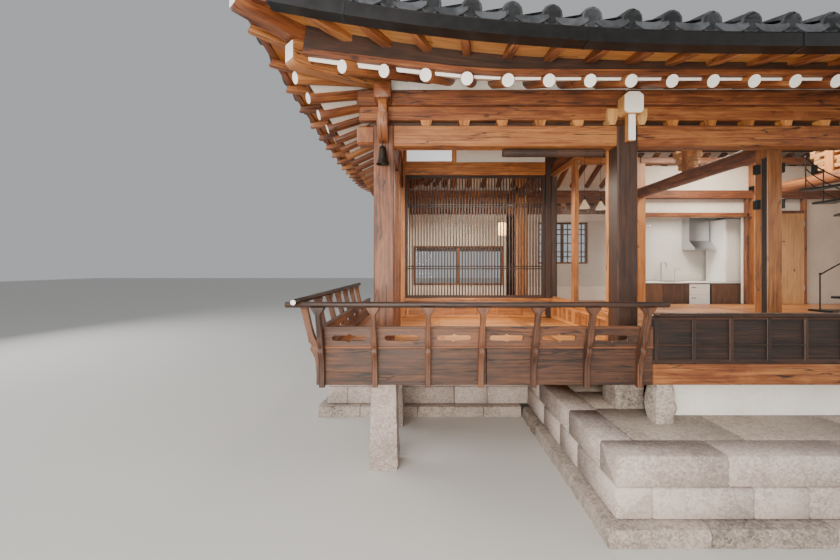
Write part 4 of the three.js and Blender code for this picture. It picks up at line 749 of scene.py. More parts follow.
def plaster_bays(found, gable, run, half):
    """Plaster between the round rafters: a thin sheet ruled through their axes, 24 mm above them and
    6 mm at their ends, where it turns up to the batten, and carried on to the hip at both ends."""
    lines = [((sx, sy, RAFTER_INNER), (ex, ey, ez)) for (sx, sy), (ex, ey, ez), *_ in sorted(found)]
    past = 0.06 - RAFTER_LINE
    for side in (-1, 1):
        far = (side * (half + past), -(run + HIP_RUN + past), RAFTER_END + CORNER_RISE)
        end = ((side * gable, -run, RAFTER_INNER), far)
        lines = [end] + lines if side < 0 else lines + [end]
    lines = np.array(lines)
    t = np.array([0.0, 0.25, 0.5, 0.75, 0.9, 0.96, 0.965])[:, None]
    low = lines[:, None, 0] + (lines[:, None, 1] - lines[:, None, 0]) * t + (0, 0, 0.024)
    low[:, :, 2] -= 0.018 * t[:, 0]
    low[:, -1, 2] += 0.046
    ring = np.concatenate([low, low[:, ::-1] + (0, 0, 0.004)], 1)
    return loft(ring, 2)


def infill(half, run):
    """Upright plaster over the purlin, between the rafters, up to the sheet of plaster."""
    return board(-half, half, -run - 0.03, -run + 0.03, PURLIN_TOP, 3.872, 0.002, 2)


EAVE_FINISH = [AGED_PINE, WHITE_ENDS, LIME_PLASTER, GOLDEN_PINE, DARK_PINE_AND_SHADE]


# %% The four eaves
def eave_pieces(side, found, edge, turn, flip, gable, run, half):
    """One side's three pieces: round rafters with their batten, flying rafters with the eave board and
    the boards between them, and the soffit with its plaster. The right and rear sides are mirror images."""
    def put(name, bits, stands_for=()):
        """One of this side's pieces, turned to its wall, or mirrored from the wall across."""
        make(side + name, mirrored(turn(bits), *flip), EAVE_FINISH, stands_for)

    batten = RAFTER_LINE + 0.035
    rafters = round_rafters(found) + [eave_strip(edge, batten, 0.05, 0, 0.05, batten_foot)]
    put("_round_rafters", rafters, (side + "_rafters",))
    flying = square_rafters(found) + [eave_strip(edge, 0.035, 0.06, -0.014, 0.074), filler(edge)]
    put("_square_rafters", flying, (side + "_flying_rafters",))
    under = [soffit(edge, 0.065, RAFTER_LINE + 0.05, 0.05), plaster_bays(found, gable, run, half),
             infill(gable + 1.035, run + 1.05)]
    put("_soffit", under)


eave_pieces("front", FRONT_RAYS, front_edge, list, (1, 1), GABLE_X, INNER_Y, EAVE_X)
eave_pieces("rear", FRONT_RAYS, front_edge, list, (1, -1), GABLE_X, INNER_Y, EAVE_X)
eave_pieces("left", LEFT_RAYS, side_edge, quarter_left, (1, 1), INNER_Y, GABLE_X, EAVE_Y)
eave_pieces("right", LEFT_RAYS, side_edge, quarter_left, (-1, 1), INNER_Y, GABLE_X, EAVE_Y)

# %% [markdown]
# Roof tiles. Dark grey clay tiles, smoked in the kiln until carbon gives them a dull silvery black.
# Shallow trough tiles overlap three deep down the slope, and half-round tiles cover their joints.
# Each row is one long surface with a step at each joint, so a thousand tiles stay light.

# %% Smoked clay
def own_tone(tree, scale):
    """A random tone for each whole step of the scaled map, so for each tile or each block."""
    place = add(tree, "UVMap", uv_map="grain")
    count = add(tree, "Mapping", {"Vector": (place, "UV"), "Scale": scale})
    whole = add(tree, "VectorMath", {0: (count, 0)}, operation="FLOOR")
    return add(tree, "TexWhiteNoise", {"Vector": (whole, 0)}, noise_dimensions="2D")


def smoked_clay():
    """Unglazed clay, greys #1d1e20 to #484b4f: a slow cloud, and 0.34 of a random tone for each tile,
    found from its place, because the map is cut into steps of one tile's 300 mm along each row."""
    made, tree, surface = new_material("smoked_clay_tile")
    tone = own_tone(tree, (1 / 0.3, 0.1, 1))
    spot = add(tree, "TexCoord")
    cloud = add(tree, "TexNoise", {"Vector": (spot, "Object"), "Scale": 9, "Detail": 6, "Roughness": 0.65})
    grit = add(tree, "TexNoise", {"Vector": (spot, "Object"), "Scale": 160, "Detail": 2})
    both = add(tree, "Math", {0: (tone, "Value"), 1: 0.34, 2: (cloud, "Fac")}, operation="MULTIPLY_ADD")
    colour = add(tree, "ValToRGB", {"Fac": (both, 0)},
                 [(0.38, "#1d1e20"), (0.62, "#2e3033"), (0.86, "#484b4f")])
    gloss = add(tree, "MapRange", {0: (cloud, "Fac"), 3: 0.48, 4: 0.74})
    bump = add(tree, "Bump", {"Strength": 0.4, "Distance": 0.001, "Height": (grit, "Fac")})
    join(tree, surface, {"Base Color": (colour, 0), "Roughness": (gloss, 0), "Normal": (bump, 0)})
    return made


CLAY = smoked_clay()
ROOF_FINISH = [CLAY, LIME_PLASTER]
print("roof finishes", [finish.name for finish in ROOF_FINISH])

# %% Places on the slopes
def front_slope(x, d):
    """A place on the front slope: x along the eave, d in from its tips, with the corner's swing."""
    x, d = np.broadcast_arrays(np.asarray(x, float), np.asarray(d, float))
    fade = np.clip(1 - d / HIP_RUN, 0, None)
    t = np.clip((abs(x) - GABLE_X) / np.maximum(EAVE_X - d - GABLE_X, 1e-3), 0, 1)
    past = abs(x) > GABLE_X
    c = np.where(past, lift((1 - t) * HIP_RUN), lift(EAVE_X - abs(x)))
    sway = CORNER_OUT * c * fade
    height = bed_top(d) + LIFT * c * fade ** 1.5
    return np.stack([x + np.sign(x) * sway * t, -(EAVE_Y - d) - sway, height], -1)


def end_slope(y, d):
    """A place on the hipped end, worked out as if it faced the front."""
    y, d = np.broadcast_arrays(np.asarray(y, float), np.asarray(d, float))
    fade = np.clip(1 - d / HIP_RUN, 0, None)
    c = lift(EAVE_Y * np.clip(1 - abs(y) / (EAVE_Y - d), 0, None))
    height = bed_top(d) + LIFT * c * fade ** 1.5
    return np.stack([y, -(EAVE_X - d) - CORNER_OUT * c * fade, height], -1)


# %% Rows of tiles
ROW_STEP, COVER_LONG, TROUGH_SHOWN = 0.3, 0.3, 0.12
FIRST_TILE = -0.03
COVER = circle(np.radians(np.linspace(-18, 198, 7)))
COVER_FOOT = [[(-0.07, -0.05), (0.07, -0.05)]]
TROUGH = [(0.15, 0.052), (0.085, 0.016), (0, 0.002), (-0.085, 0.016), (-0.15, 0.052), (-0.15, -0.02),
          (0.15, -0.02)]


def stepped(first, last, length):
    """Places of the joints, twice each, and a saw-tooth that falls from 1 to 0 along every tile."""
    joints = np.append(np.arange(first, last, length), last)
    return np.repeat(joints, 2)[1:-1], np.tile([1.0, 0.0], len(joints) - 1)


def cover_row(slope, x, last):
    """Half-round tiles: the section's radius falls from 80 to 71 mm along each tile."""
    d, saw = stepped(FIRST_TILE, last, COVER_LONG)
    path = slope(x, d)
    path[1::2] += slope(x, d[1::2] + 0.002) - path[1::2]
    path[:, 2] += 0.046
    radius = 0.071 + 0.009 * saw
    ring = np.concatenate([COVER[None] * radius[:, None, None], np.tile(COVER_FOOT, (len(d), 1, 1))], 1)
    return sweep(path[::-1], ring[::-1])


def trough_row(slope, x, last):
    """Trough tiles, 120 mm of each in view, each tile's foot 20 mm above the tile below it."""
    d, saw = stepped(FIRST_TILE, last, TROUGH_SHOWN)
    path = slope(x, d)
    path[1::2] += slope(x, d[1::2] + 0.001) - path[1::2]
    path[:, 2] += 0.006 + 0.02 * saw
    return sweep(path[::-1], TROUGH)


def end_disc(slope, x):
    """The round end tile of a cover row: a plain disc with a raised rim, tipped to face outwards."""
    at = slope(x, FIRST_TILE) + (0, -0.004, 0.044)
    out = np.array([0, -1.0, -0.12])
    reach = np.array([-0.03, 0.004, 0.012, 0.012, 0.006])[:, None]
    return pole(at + out * reach, [0.080, 0.082, 0.078, 0.066, 0.064], 14)


def drip_tile(slope, x):
    """The drip tile at the foot of a trough: a curved apron that hangs 55 mm below its lip."""
    at = slope(x, FIRST_TILE)
    u = np.linspace(-0.125, 0.125, 7)
    top = 0.03 + 2.1 * u ** 2
    low = top - 0.075 + 1.3 * u ** 2
    front, back = at[1] - 0.012, at[1] + 0.008
    marks = ((front, top), (front - 0.012, low), (back - 0.012, low), (back, top))
    ring = np.stack([track(at[0] + u, y - 0.08 * (0.03 - z), at[2] + z) for y, z in marks])
    return loft(ring.transpose(1, 0, 2)[:, ::-1])


def slope_tiles(slope, places, last_at):
    """One slope: a cover row with its disc at each place, and a trough with its drip tile midway between
    two. last_at gives how far up a row goes, and rows shorter than 150 mm are left out."""
    covers, troughs = [], []
    for x in places:
        if last_at(x) > FIRST_TILE + 0.15:
            covers += [cover_row(slope, x, last_at(x)), end_disc(slope, x)]
    for x in places[:-1] + ROW_STEP / 2:
        if last_at(x) > FIRST_TILE + 0.15:
            troughs += [trough_row(slope, x, last_at(x)), drip_tile(slope, x)]
    return covers, troughs


def front_last(x):
    """A front row ends 90 mm short of the ridge, or of the hip where that comes first."""
    return EAVE_Y - 0.09 if abs(x) < GABLE_X else EAVE_X - abs(x) - 0.09


def end_last(y):
    """A row of the hipped end stops at the gable, or 90 mm short of the hip."""
    return min(HIP_RUN - 0.01, EAVE_Y - abs(y) - 0.09)


# %% Tiles of the four slopes
front_places = (np.arange(38) - 18.5) * ROW_STEP
end_places = (np.arange(24) - 11.5) * ROW_STEP
covers, troughs = slope_tiles(front_slope, front_places, front_last)
for side, y in (("front", 1), ("rear", -1)):
    make(side + "_cover_tiles", mirrored(covers, 1, y), ROOF_FINISH, sharp=30)
    make(side + "_trough_tiles", mirrored(troughs, 1, y), ROOF_FINISH, sharp=30)
covers, troughs = [quarter_left(bits) for bits in slope_tiles(end_slope, end_places, end_last)]
make("left_tiles", covers + troughs, ROOF_FINISH, sharp=30)
make("right_tiles", mirrored(covers + troughs, -1), ROOF_FINISH, sharp=30)

# %% [markdown]
# Ridges. Flat tiles are laid in courses over a band of lime mortar, each course a little narrower, and
# half-round tiles close the top. The main ridge rises towards its ends. Each course is one strip swept
# along the ridge line, and the finish's own tone changes every 300 mm, as the tiles do.

# %% Ridges
def ridge(path, wide, high, courses, rise):
    """A ridge on a path: mortar, then courses of tile whose edges stand out, then half-round tiles. rise
    stretches it upwards, point by point."""
    path = np.asarray(path, float)

    def raised(height):
        """The path, higher by the height times the rise at each of its points."""
        return path + np.outer(height * rise, (0, 0, 1))

    bits = [sweep(raised(0.035), octagon(wide * 1.86, 0.13, 0.004), slot=1, caps=(1, 1))]
    body = high - 0.085 - 0.09
    for k in range(courses):
        half = wide * (1.0 - 0.16 * k / courses) - (0.012 if k % 2 else 0)
        section = octagon(2 * half, body / courses * 0.9, 0.006)
        bits.append(sweep(raised(0.09 + body * (k + 0.5) / courses), section))
    bits.append(sweep(raised(0.09 + body / 2), octagon(wide * 1.6, body, 0.002), slot=1, caps=(1, 1)))
    turn = np.radians(np.linspace(-10, 190, 9))
    run = np.append(0, np.linalg.norm(np.diff(path, axis=0), axis=1).cumsum())
    at, saw = stepped(0, run[-1], COVER_LONG)
    at = at + np.tile([0, -0.004], len(at) // 2)
    spine = np.stack([np.interp(at, run, path[:, i]) for i in range(3)], -1)
    spine[:, 2] += (high - 0.085) * np.interp(at, run, rise) + 0.012
    radius = np.minimum(0.073 + 0.008 * saw, wide)
    cap = circle(turn)[None] * radius[:, None, None]
    return bits + [sweep(spine, cap)]


def end_plate(at, out, wide, high):
    """The plain curved plate that closes a ridge: a rounded shield, dished and tipped outwards."""
    at, out = np.asarray(at, float), np.asarray(out, float)
    side = np.cross(out, (0, 0, 1.0))
    side /= np.linalg.norm(side)
    s = np.linspace(0, 2 * np.pi, 20, endpoint=False)
    shape = np.stack([wide * np.cos(s) * (1 - 0.15 * np.sin(s)), high * np.sin(s)], -1)
    rings = [(0.0, 0.94), (0.006, 1.0), (0.024, 1.0), (0.03, 0.92), (0.022, 0.8), (0.022, 0.1)]
    flat = side * shape[:, :1] + np.array([0, 0, 1]) * shape[:, 1:]
    return loft(np.array([at + out * o + flat * k for o, k in rings]))


def ridge_pieces():
    """The main ridge, which rises by 0.42 of its height times the cube of the way to its end; then one
    corner's ridge down the gable and ridge down the hip with their end plates, put at all four corners."""
    top, reach = float(bed_top(EAVE_Y)), GABLE_X + 0.12
    x = np.linspace(-reach, reach, 41)
    line = track(x, 0, top)
    main = ridge(line, 0.11, 0.33, 5, 1 + 0.42 * (abs(x) / reach) ** 3)
    gable = -GABLE_X + 0.095
    y = np.linspace(0.04, INNER_Y + 0.07, 14)
    line = track(gable, -y, bed_top(EAVE_Y - y))
    down = ridge(line, 0.085, 0.21, 3, np.ones(14))
    d = np.linspace(HIP_RUN, 0.14, 16)
    fade = 1 - d / HIP_RUN
    out = d - CORNER_OUT * fade
    line = track(out - EAVE_X, out - EAVE_Y, bed_top(d) + LIFT * fade ** 1.5)
    hip = ridge(line, 0.085, 0.175, 2, np.ones(16))
    foot = (gable, -INNER_Y - 0.07, float(bed_top(EAVE_Y - 1.57)) + 0.11)
    plates = [end_plate(foot, (0, -1, 0.1), 0.1, 0.13)]
    tip = EAVE_X - 0.14 + CORNER_OUT * (1 - 0.14 / HIP_RUN)
    corner = (-tip, -tip + EAVE_X - EAVE_Y, float(bed_top(0.14)) + LIFT * 0.9 + 0.1)
    plates.append(end_plate(corner, (-0.7071, -0.7071, 0.05), 0.095, 0.11))
    bits = main + [end_plate((s * reach, 0, top + 0.22), (s, 0, 0.12), 0.14, 0.21) for s in (-1, 1)]
    for sx in (1, -1):
        for sy in (1, -1):
            bits += mirrored(down + hip + plates, sx, sy)
    return bits


make("ridge_courses", ridge_pieces(), ROOF_FINISH, ("roof_ridges",), sharp=30)
nodes["roof_bed"].data.materials[0] = CLAY

# %% [markdown]
# Granite. The platform is faced with two courses of pinkish grey granite. The blocks were sawn, then
# bush-hammered, which leaves a fine pitted face; the upper course is a kerb, and the slabs behind it are
# hammered more coarsely. The footing was only split with wedges, so its face is rough rock.

# %% Granite recipes
def granite(name, light, dark, pit_mm, depth_mm, rough):
    """Feldspar, quartz and mica: slow stains, then 0.30 of a 4 mm speckle, drawn 16 mm wide to show, and
    0.2 of each block's own random tone. Pits of pit_mm are depth_mm deep."""
    made, tree, surface = new_material(name)
    place = add(tree, "TexCoord")
    cloud = add(tree, "TexNoise", {"Vector": (place, "Object"), "Scale": 1.9, "Detail": 8,
                                   "Roughness": 0.74})
    speck = add(tree, "TexVoronoi", {"Vector": (place, "Object"), "Scale": 1000 / 16})
    grey = add(tree, "SeparateColor", {0: (speck, "Color")})
    mixed = add(tree, "Math", {0: (grey, 0), 1: 0.30, 2: (cloud, "Fac")}, operation="MULTIPLY_ADD")
    tone = own_tone(tree, (0, 0.1, 1))
    value = add(tree, "Math", {0: (tone, "Value"), 1: 0.2, 2: (mixed, 0)}, operation="MULTIPLY_ADD")
    colour = add(tree, "ValToRGB", {"Fac": (value, 0)}, [(0.45, dark), (0.92, light)])
    pits = add(tree, "TexNoise", {"Vector": (place, "Object"), "Scale": 500 / pit_mm, "Detail": 4,
                                  "Roughness": 0.7})
    bump = add(tree, "Bump", {"Strength": 0.8, "Distance": depth_mm / 1000, "Height": (pits, "Fac")})
    join(tree, surface, {"Base Color": (colour, 0), "Normal": (bump, 0), "Roughness": rough})
    return made


# Blocks with fine even pits, slabs pitted more coarsely and darker, and rough rock for the footing.
HAMMERED = granite("bush_hammered_granite", "#c4b5ab", "#8f8077", 9, 2.5, 0.85)
SLAB_STONE = granite("coarse_hammered_granite", "#ab9c8e", "#6f6358", 22, 7, 0.92)
SPLIT = granite("wedge_split_granite", "#b3a599", "#665b52", 40, 16, 0.95)
STONE = [HAMMERED, SLAB_STONE, SPLIT, LIME_PLASTER]
print("stone finishes", [finish.name for finish in STONE])


# %% Blocks of stone
BLOCK_DEEP = 0.27


def wander(points, size, reach):
    """A smooth false noise: the sum of sines along three skew directions, wavelength near size."""
    p = np.asarray(points) / size
    return reach * (np.sin(6.3 * (p @ (0.9, 0.35, 0.2)) + 2.0 * np.sin(3.1 * (p @ (0.1, 0.8, 0.7))))
                    + np.sin(5.1 * (p @ (-0.4, 0.7, 0.6)) + 1.3) + np.sin(8.7 * (p @ (0.5, -0.3, 0.9)))) / 3


def lengths(total, near, seed):
    """Divides a wall into stones of about one length, each a little longer or shorter."""
    count = max(1, round(total / near))
    share = 1 + 0.32 * np.sin(np.arange(count) * 2.4 + seed)
    return np.append(0, (share / share.sum() * total).cumsum())


def wall_line(start, end, out):
    """A wall in three dimensions: its start, its outer arrow, its arrow along, and its length."""
    start, end, out = (np.array([*v, 0.0]) for v in (start, end, out))
    total = np.linalg.norm(end - start)
    return start, out, (end - start) / total, total


def course(start, end, out, z0, z1, near, seed):
    """A course of blocks from start to end, whose outer faces stand on that line; out points outwards."""
    start, out, run, total = wall_line(start, end, out)
    bits = []
    for k, (a, b) in enumerate(pairwise(lengths(total, near, seed))):
        proud = 0.0015 * math.sin(k * 5.1 + seed)
        middle = start - out * (BLOCK_DEEP / 2 + 0.002 - proud) + np.array([0, 0, (z0 + z1) / 2])
        first, last = middle + run * (a + 0.004), middle + run * (b - 0.004)
        bits.append(beam(first, last, BLOCK_DEEP, z1 - z0 - 0.007, edge=0.01))
    return bits


def split_course(start, end, out, z0, z1, deep, near, seed):
    """The footing: rough rock faces, bulging by 10 mm, with chipped upper edges."""
    start, out, run, total = wall_line(start, end, out)
    half = np.array([(-1, -1), (0, -1), (1, -1), (1, -0.4), (1, 0.3),
                     (0.93, 0.9), (0.6, 1), (0, 1), (-1, 1), (-1, 0)])
    bits = []
    for a, b in pairwise(lengths(total, near, seed)):
        rows = max(4, round((b - a) / 0.07))
        at = np.linspace(a + 0.004, b - 0.004, rows)
        middle = start - out * deep / 2 + (0, 0, (z0 + z1) / 2)
        path = middle + run * at[:, None]
        sideways, upwards = half[:, :1] * deep / 2, half[:, 1:] * (z1 - z0) / 2
        ring = path[:, None] + out * sideways + np.array([0, 0, 1]) * upwards
        face = half[:, 0] > 0.5
        push = wander(ring, 0.11, 0.012) + wander(ring, 0.045, 0.006) - 0.010
        ring = ring + out * (push * face)[..., None]
        ring[..., 2] += np.where(half[:, 1] > 0.8, wander(ring, 0.09, 0.004) - 0.004, 0)
        if np.cross(run, (0, 0, 1)) @ out < 0:
            ring = ring[:, ::-1]
        bits.append(loft(ring, 2, (2, 2)))
    return bits


def hewn(x, y, z0, z1, foot, head, rough=0.006, slot=2):
    """A standing stone: a square loft from foot to head with rounded corners and a wandering face."""
    turn = np.radians(np.arange(0, 360, 360 / 24))
    square = circle(turn)
    square = square / np.maximum(abs(square).max(1, keepdims=True), 0.76)
    t = np.linspace(0, 1, max(5, round((z1 - z0) / 0.06)))
    half = foot + (head - foot) * t
    half[[0, -1]] -= 0.006
    level = np.tile((z0 + (z1 - z0) * t)[:, None, None], (1, 24, 1))
    ring = np.concatenate([square[None] * half[:, None, None] + (x, y), level], -1)
    away = np.concatenate([square, np.zeros((24, 1))], 1)
    push = wander(ring + (x * 3, y * 5, 0), 0.16, rough) * 1.5 - rough / 2
    ring = ring + away * push[..., None]
    return loft(ring[:, ::-1], slot, (slot, slot))


# %% The platform
PLATFORM_X, PLATFORM_Y, NOTCH_X, NOTCH_Y = 5.7, 3.645, -3.012, -1.244
OUTLINE = [(NOTCH_X, -PLATFORM_Y), (PLATFORM_X, -PLATFORM_Y), (PLATFORM_X, PLATFORM_Y),
           (-PLATFORM_X, PLATFORM_Y), (-PLATFORM_X, NOTCH_Y), (NOTCH_X, NOTCH_Y)]
FOOTING_TOP, COURSE_TOP, KERB_TOP, STONE_FOOT = 0.14, 0.375, 0.61, 0.6


def walls_of(points, inset=0.0):
    """Each side of a closed outline, anticlockwise, moved in by inset: start, end and its outer arrow."""
    shape = np.array(points, float)
    run = np.roll(shape, -1, 0) - shape
    run /= np.linalg.norm(run, axis=1)[:, None]
    out = np.column_stack([run[:, 1], -run[:, 0]])
    corner = shape - inset * (out + np.roll(out, 1, 0))
    return [(corner[i], corner[(i + 1) % len(shape)], out[i], run[i]) for i in range(len(shape))]


def platform_pieces():
    """Two courses of squared blocks that lap at the corners, and a split footing 100 mm outside them.
    Wall 4 ends in the inner corner, so it laps the other way, and wall 5 starts there without a lap."""
    bits = []
    for k, (a, b, out, run) in enumerate(walls_of(OUTLINE)):
        lap = run * BLOCK_DEEP
        bits += course(a, b + lap if k == 4 else b - lap, out, COURSE_TOP, KERB_TOP, 0.85, k)
        first, last = a if k == 5 else a + lap, b + lap if k == 4 else b
        bits += course(first, last, out, FOOTING_TOP, COURSE_TOP, 0.62, k + 2.2)
    for k, (a, b, out, run) in enumerate(walls_of(OUTLINE, -0.1)):
        bits += split_course(a, b, out, 0.002, FOOTING_TOP, 0.22, 0.75, k)
    return bits


def slabs():
    """Slabs of about 0.9 by 0.6 m in rows behind the kerb, each with worn edges, 16 mm apart; their tops
    differ by up to 2 mm."""
    bits = []
    x, y, rim, gap = PLATFORM_X - BLOCK_DEEP, PLATFORM_Y - BLOCK_DEEP, BLOCK_DEEP, 0.008
    for x0, x1, y0, y1 in ((NOTCH_X + rim, x, -y, NOTCH_Y + rim), (-x, x, NOTCH_Y + rim, y)):
        for r, (a, b) in enumerate(pairwise(lengths(y1 - y0, 0.62, 1.0) + y0)):
            for k, (c, d) in enumerate(pairwise(lengths(x1 - x0, 0.9, r * 1.7) + x0)):
                top = 0.606 + 0.002 * math.sin(r * 3 + k * 2)
                bits.append(board(c + gap, d - gap, a + gap, b - gap, 0.5, top, 0.007, 1))
    return bits


def foundation_stones():
    """A stone under each post, where the platform is, and smaller ones under the front of the hall."""
    bits = []
    for x in LINES:
        for y in (-FRONT_Y, -INNER_Y, INNER_Y, FRONT_Y):
            if y > NOTCH_Y or x > -END_X:
                bits.append(hewn(x, y, STONE_FOOT, SILL, 0.155, 0.143))
    return bits + [hewn(x + 0.12, -2.97, STONE_FOOT, SILL, 0.1, 0.092, 0.01) for x in LINES[1:]]


core = boards((-5.45, 5.45, -0.98, 3.39, 0.1, 0.52, 0.01, 1),
              (-2.76, 5.45, -3.39, -0.9, 0.1, 0.52, 0.01, 1))
masonry = platform_pieces() + slabs() + core
make("platform_masonry", masonry, STONE, ("platform",), sharp=50)
make("foundation_stones", foundation_stones(), STONE, sharp=60)
for y, name in ((-2.55, "corner_pillar_stone"), (-1.5, "side_pillar_stone")):
    pillar = hewn(-END_X, y, 0.002, SILL, 0.15, 0.125, 0.004, 0)
    make(name + "_hewn", [pillar], STONE, (name,), sharp=60)

# %% [markdown]
# Railing of the pavilion. Bowed balusters stand on the face of the deck's skirt, swell at the board and
# lean out to carry a round rail, and each ends in a carved cup under it. The boards between them have
# a long slot with a cusp above and below. A baluster is a stack of chamfered rectangles whose outer and
# inner edge are read from its side outline.

# %% Balusters and rails
DECK_LEFT, DECK_FRONT, DECK_BACK = -5.316, -3.066, 0.02
PAVILION_X, SCREEN_Y = -2.4, -0.58
# Side outline of a baluster, as (height in m, mm out from the face of the skirt), and its half width.
BALUSTER_OUT = np.array([(0.94, 44), (1.04, 44), (1.11, 48), (1.18, 60), (1.22, 80), (1.25, 98),
                         (1.268, 96), (1.285, 88), (1.298, 92), (1.32, 114), (1.36, 120), (1.405, 130),
                         (1.47, 148), (1.54, 172), (1.6, 186), (1.648, 190)])
BALUSTER_IN = np.array([(0.94, 0), (1.285, 0), (1.335, 48), (1.42, 76), (1.48, 92), (1.545, 112),
                        (1.6, 124), (1.648, 120)])
BALUSTER_HALF = np.array([(0.94, 24), (1.26, 24), (1.284, 20), (1.30, 24), (1.4, 24), (1.5, 21),
                          (1.582, 21), (1.592, 27), (1.62, 46), (1.648, 60)])
BALUSTER_LEVELS = np.array([0.94, 0.97, 1.04, 1.11, 1.18, 1.22, 1.25, 1.268, 1.285, 1.298, 1.32, 1.36,
                            1.405, 1.47, 1.54, 1.582, 1.592, 1.605, 1.62, 1.648])


def baluster(x, raised=0.0):
    """Chamfered rectangles stacked at the levels; each one's outer edge, inner edge and half width are
    read off the outlines between their marks. The head, over 1.5 m, may be raised."""
    z = BALUSTER_LEVELS
    tables = (BALUSTER_OUT, BALUSTER_IN, BALUSTER_HALF)
    out, inner, half = [np.interp(z, table[:, 0], table[:, 1] / 1000) for table in tables]
    e = 0.006
    left, right = x - half, x + half
    across = np.stack([left + e, right - e, right, right, right - e, left + e, left, left], -1)
    deep = np.stack([out, out, out - e, inner + e, inner, inner, inner + e, out - e], -1)
    level = np.tile((z + raised * (z > 1.5))[:, None], (1, 8))
    return loft(np.stack([across, DECK_FRONT - deep, level], -1)[:, ::-1])


def pierced(x0, x1, z0, z1, hole, y0, y1):
    """A board with a hole: the outline and the hole have the same count of points, and a band of quads
    joins them in front, behind, and through the hole. The grain runs along X."""
    global strips
    strips += 1
    n = len(hole)
    centre = np.array([(x0 + x1) / 2, (z0 + z1) / 2])
    away = (hole - centre) / (np.array([x1 - x0, z1 - z0]) / 2)
    rim = centre + (hole - centre) / np.maximum(abs(away).max(1, keepdims=True), 1e-6)
    corners = np.array([(x0, z0), (x1, z0), (x1, z1), (x0, z1)])
    for c in corners:
        rim[np.linalg.norm(rim - c, axis=1).argmin()] = c
    loops = ((rim, y0), (hole, y0), (hole, y1), (rim, y1))
    points = np.concatenate([track(p[:, 0], y, p[:, 1]) for p, y in loops])
    i = np.arange(n)
    k = (i + 1) % n
    faces = np.concatenate([np.stack([a + i, a + k, b + k, b + i], -1)
                            for a, b in ((0, n), (n, 2 * n), (2 * n, 3 * n), (3 * n, 0))])
    place = points[faces]
    uv = np.stack([place[..., 0], place[..., 2] + place[..., 1] + 10.0 * strips], -1)
    return points, faces, uv, np.full(len(faces), 0)


def slot_hole(x, z=1.362):
    """Round-ended slot, 300 by 48 mm, anticlockwise, with a cusp 14 mm high above and below its middle."""
    end = np.radians(np.linspace(-90, 90, 7))
    right = np.column_stack([0.126 + 0.024 * np.cos(end), 0.024 * np.sin(end)])
    rise = np.array([(0.06, 0.024), (0.03, 0.025), (0.014, 0.029), (0, 0.039)])
    half = np.concatenate([right, rise, rise[2::-1] * (-1, 1)])
    return np.concatenate([half, -half]) + (x, z)


def rail_line(end_x, start_x, y, z):
    """The round rail: turned pine, a slow wander in its radius of 25 mm, its free end painted white."""
    t = np.linspace(0, 1, 15)
    path = track(start_x + (end_x - start_x) * t, y, z)
    size = 0.025 + 0.0011 * np.sin(t * 31)
    size[0] = 0.0215
    path[1, 0] = path[0, 0] + 0.006
    return pole(path, size, 14, slot=2, caps=(1, 2))


def railing(x0, x1, rail_x, first, up):
    """A front railing from x0 to x1: balusters 460 mm apart, a board with a slot in each bay and a plain
    one in a narrow bay, two thin rails, and the round rail up to rail_x. up raises rail and heads."""
    y = DECK_FRONT
    low, high = y - 0.008, y + 0.028
    places = first + 0.46 * np.arange(7)
    bits = [baluster(x, up) for x in places]
    bits.append(board(x0, places[0], low, high, 1.283, 1.445, 0.003))
    for a, b in pairwise(np.append(places, x1)):
        if b - a > 0.4:
            bits.append(pierced(a, b, 1.28, 1.45, slot_hole((a + b) / 2), low, high))
        elif b - a > 0.01:
            bits.append(board(a, b, low, high, 1.283, 1.445, 0.003))
    bits.append(board(x0, x1, y - 0.016, y + 0.036, 1.444, 1.463, 0.004))
    bits.append(board(x0, x1, y - 0.014, y + 0.03, 1.272, 1.292, 0.004))
    start = x0 - 0.25 - (0.036 if up == 0 else 0)
    return bits + [rail_line(rail_x, start, y - 0.155, 1.67 + up)]


def swapped(bits):
    """The front railing's skins turned into the left one: x and y change places about the corner."""
    by = (DECK_LEFT - DECK_FRONT, 0, 0)
    return [(p[:, [1, 0, 2]] + by, f[:, ::-1], u[:, ::-1], s) for p, f, u, s in bits]


RAIL_FINISH = [WEATHERED_PINE, WHITE_ENDS, DARK_PINE_AND_SHADE]
front_rail = railing(DECK_LEFT + 0.036, PAVILION_X - 0.001, PAVILION_X + 0.04, DECK_LEFT + 0.024, 0.0)
make("front_railing", front_rail, RAIL_FINISH, ("balustrade_front",))
side_rail = railing(DECK_FRONT, DECK_BACK, DECK_BACK, DECK_FRONT + 0.06, 0.026)
make("left_railing", swapped(side_rail), RAIL_FINISH, ("balustrade_left",))

# %% [markdown]
# Deck and floors. The skirt is of wide single boards. The floors are laid in the well pattern: long
# joists with short planks let in between them, so the floor could be lifted and re-laid as it dried.

# %% Skirt and floors
FLOOR_FINISH = [WEATHERED_PINE, WHITE_ENDS, DARK_PINE_AND_SHADE, GOLDEN_PINE]
JOIST_LOW, PLANK_LOW = 0.96, 1.165


def skirt():
    """Boards 40 mm thick round the deck, two to each open side and one behind."""
    x0, y0, thick = DECK_LEFT, DECK_FRONT, 0.04
    bits = []
    for a, b in ((x0, -3.86), (-3.86, PAVILION_X)):
        bits.append(board(a, b - 0.001, y0, y0 + thick, SILL, 1.28, 0.005))
    for a, b in ((y0 + thick, -1.5), (-1.5, DECK_BACK)):
        bits.append(board(x0, x0 + thick, a + 0.001, b, SILL, 1.28, 0.005))
    bits.append(board(x0, -END_X - 0.1, DECK_BACK, DECK_BACK + thick, SILL, 1.28, 0.005))
    return bits


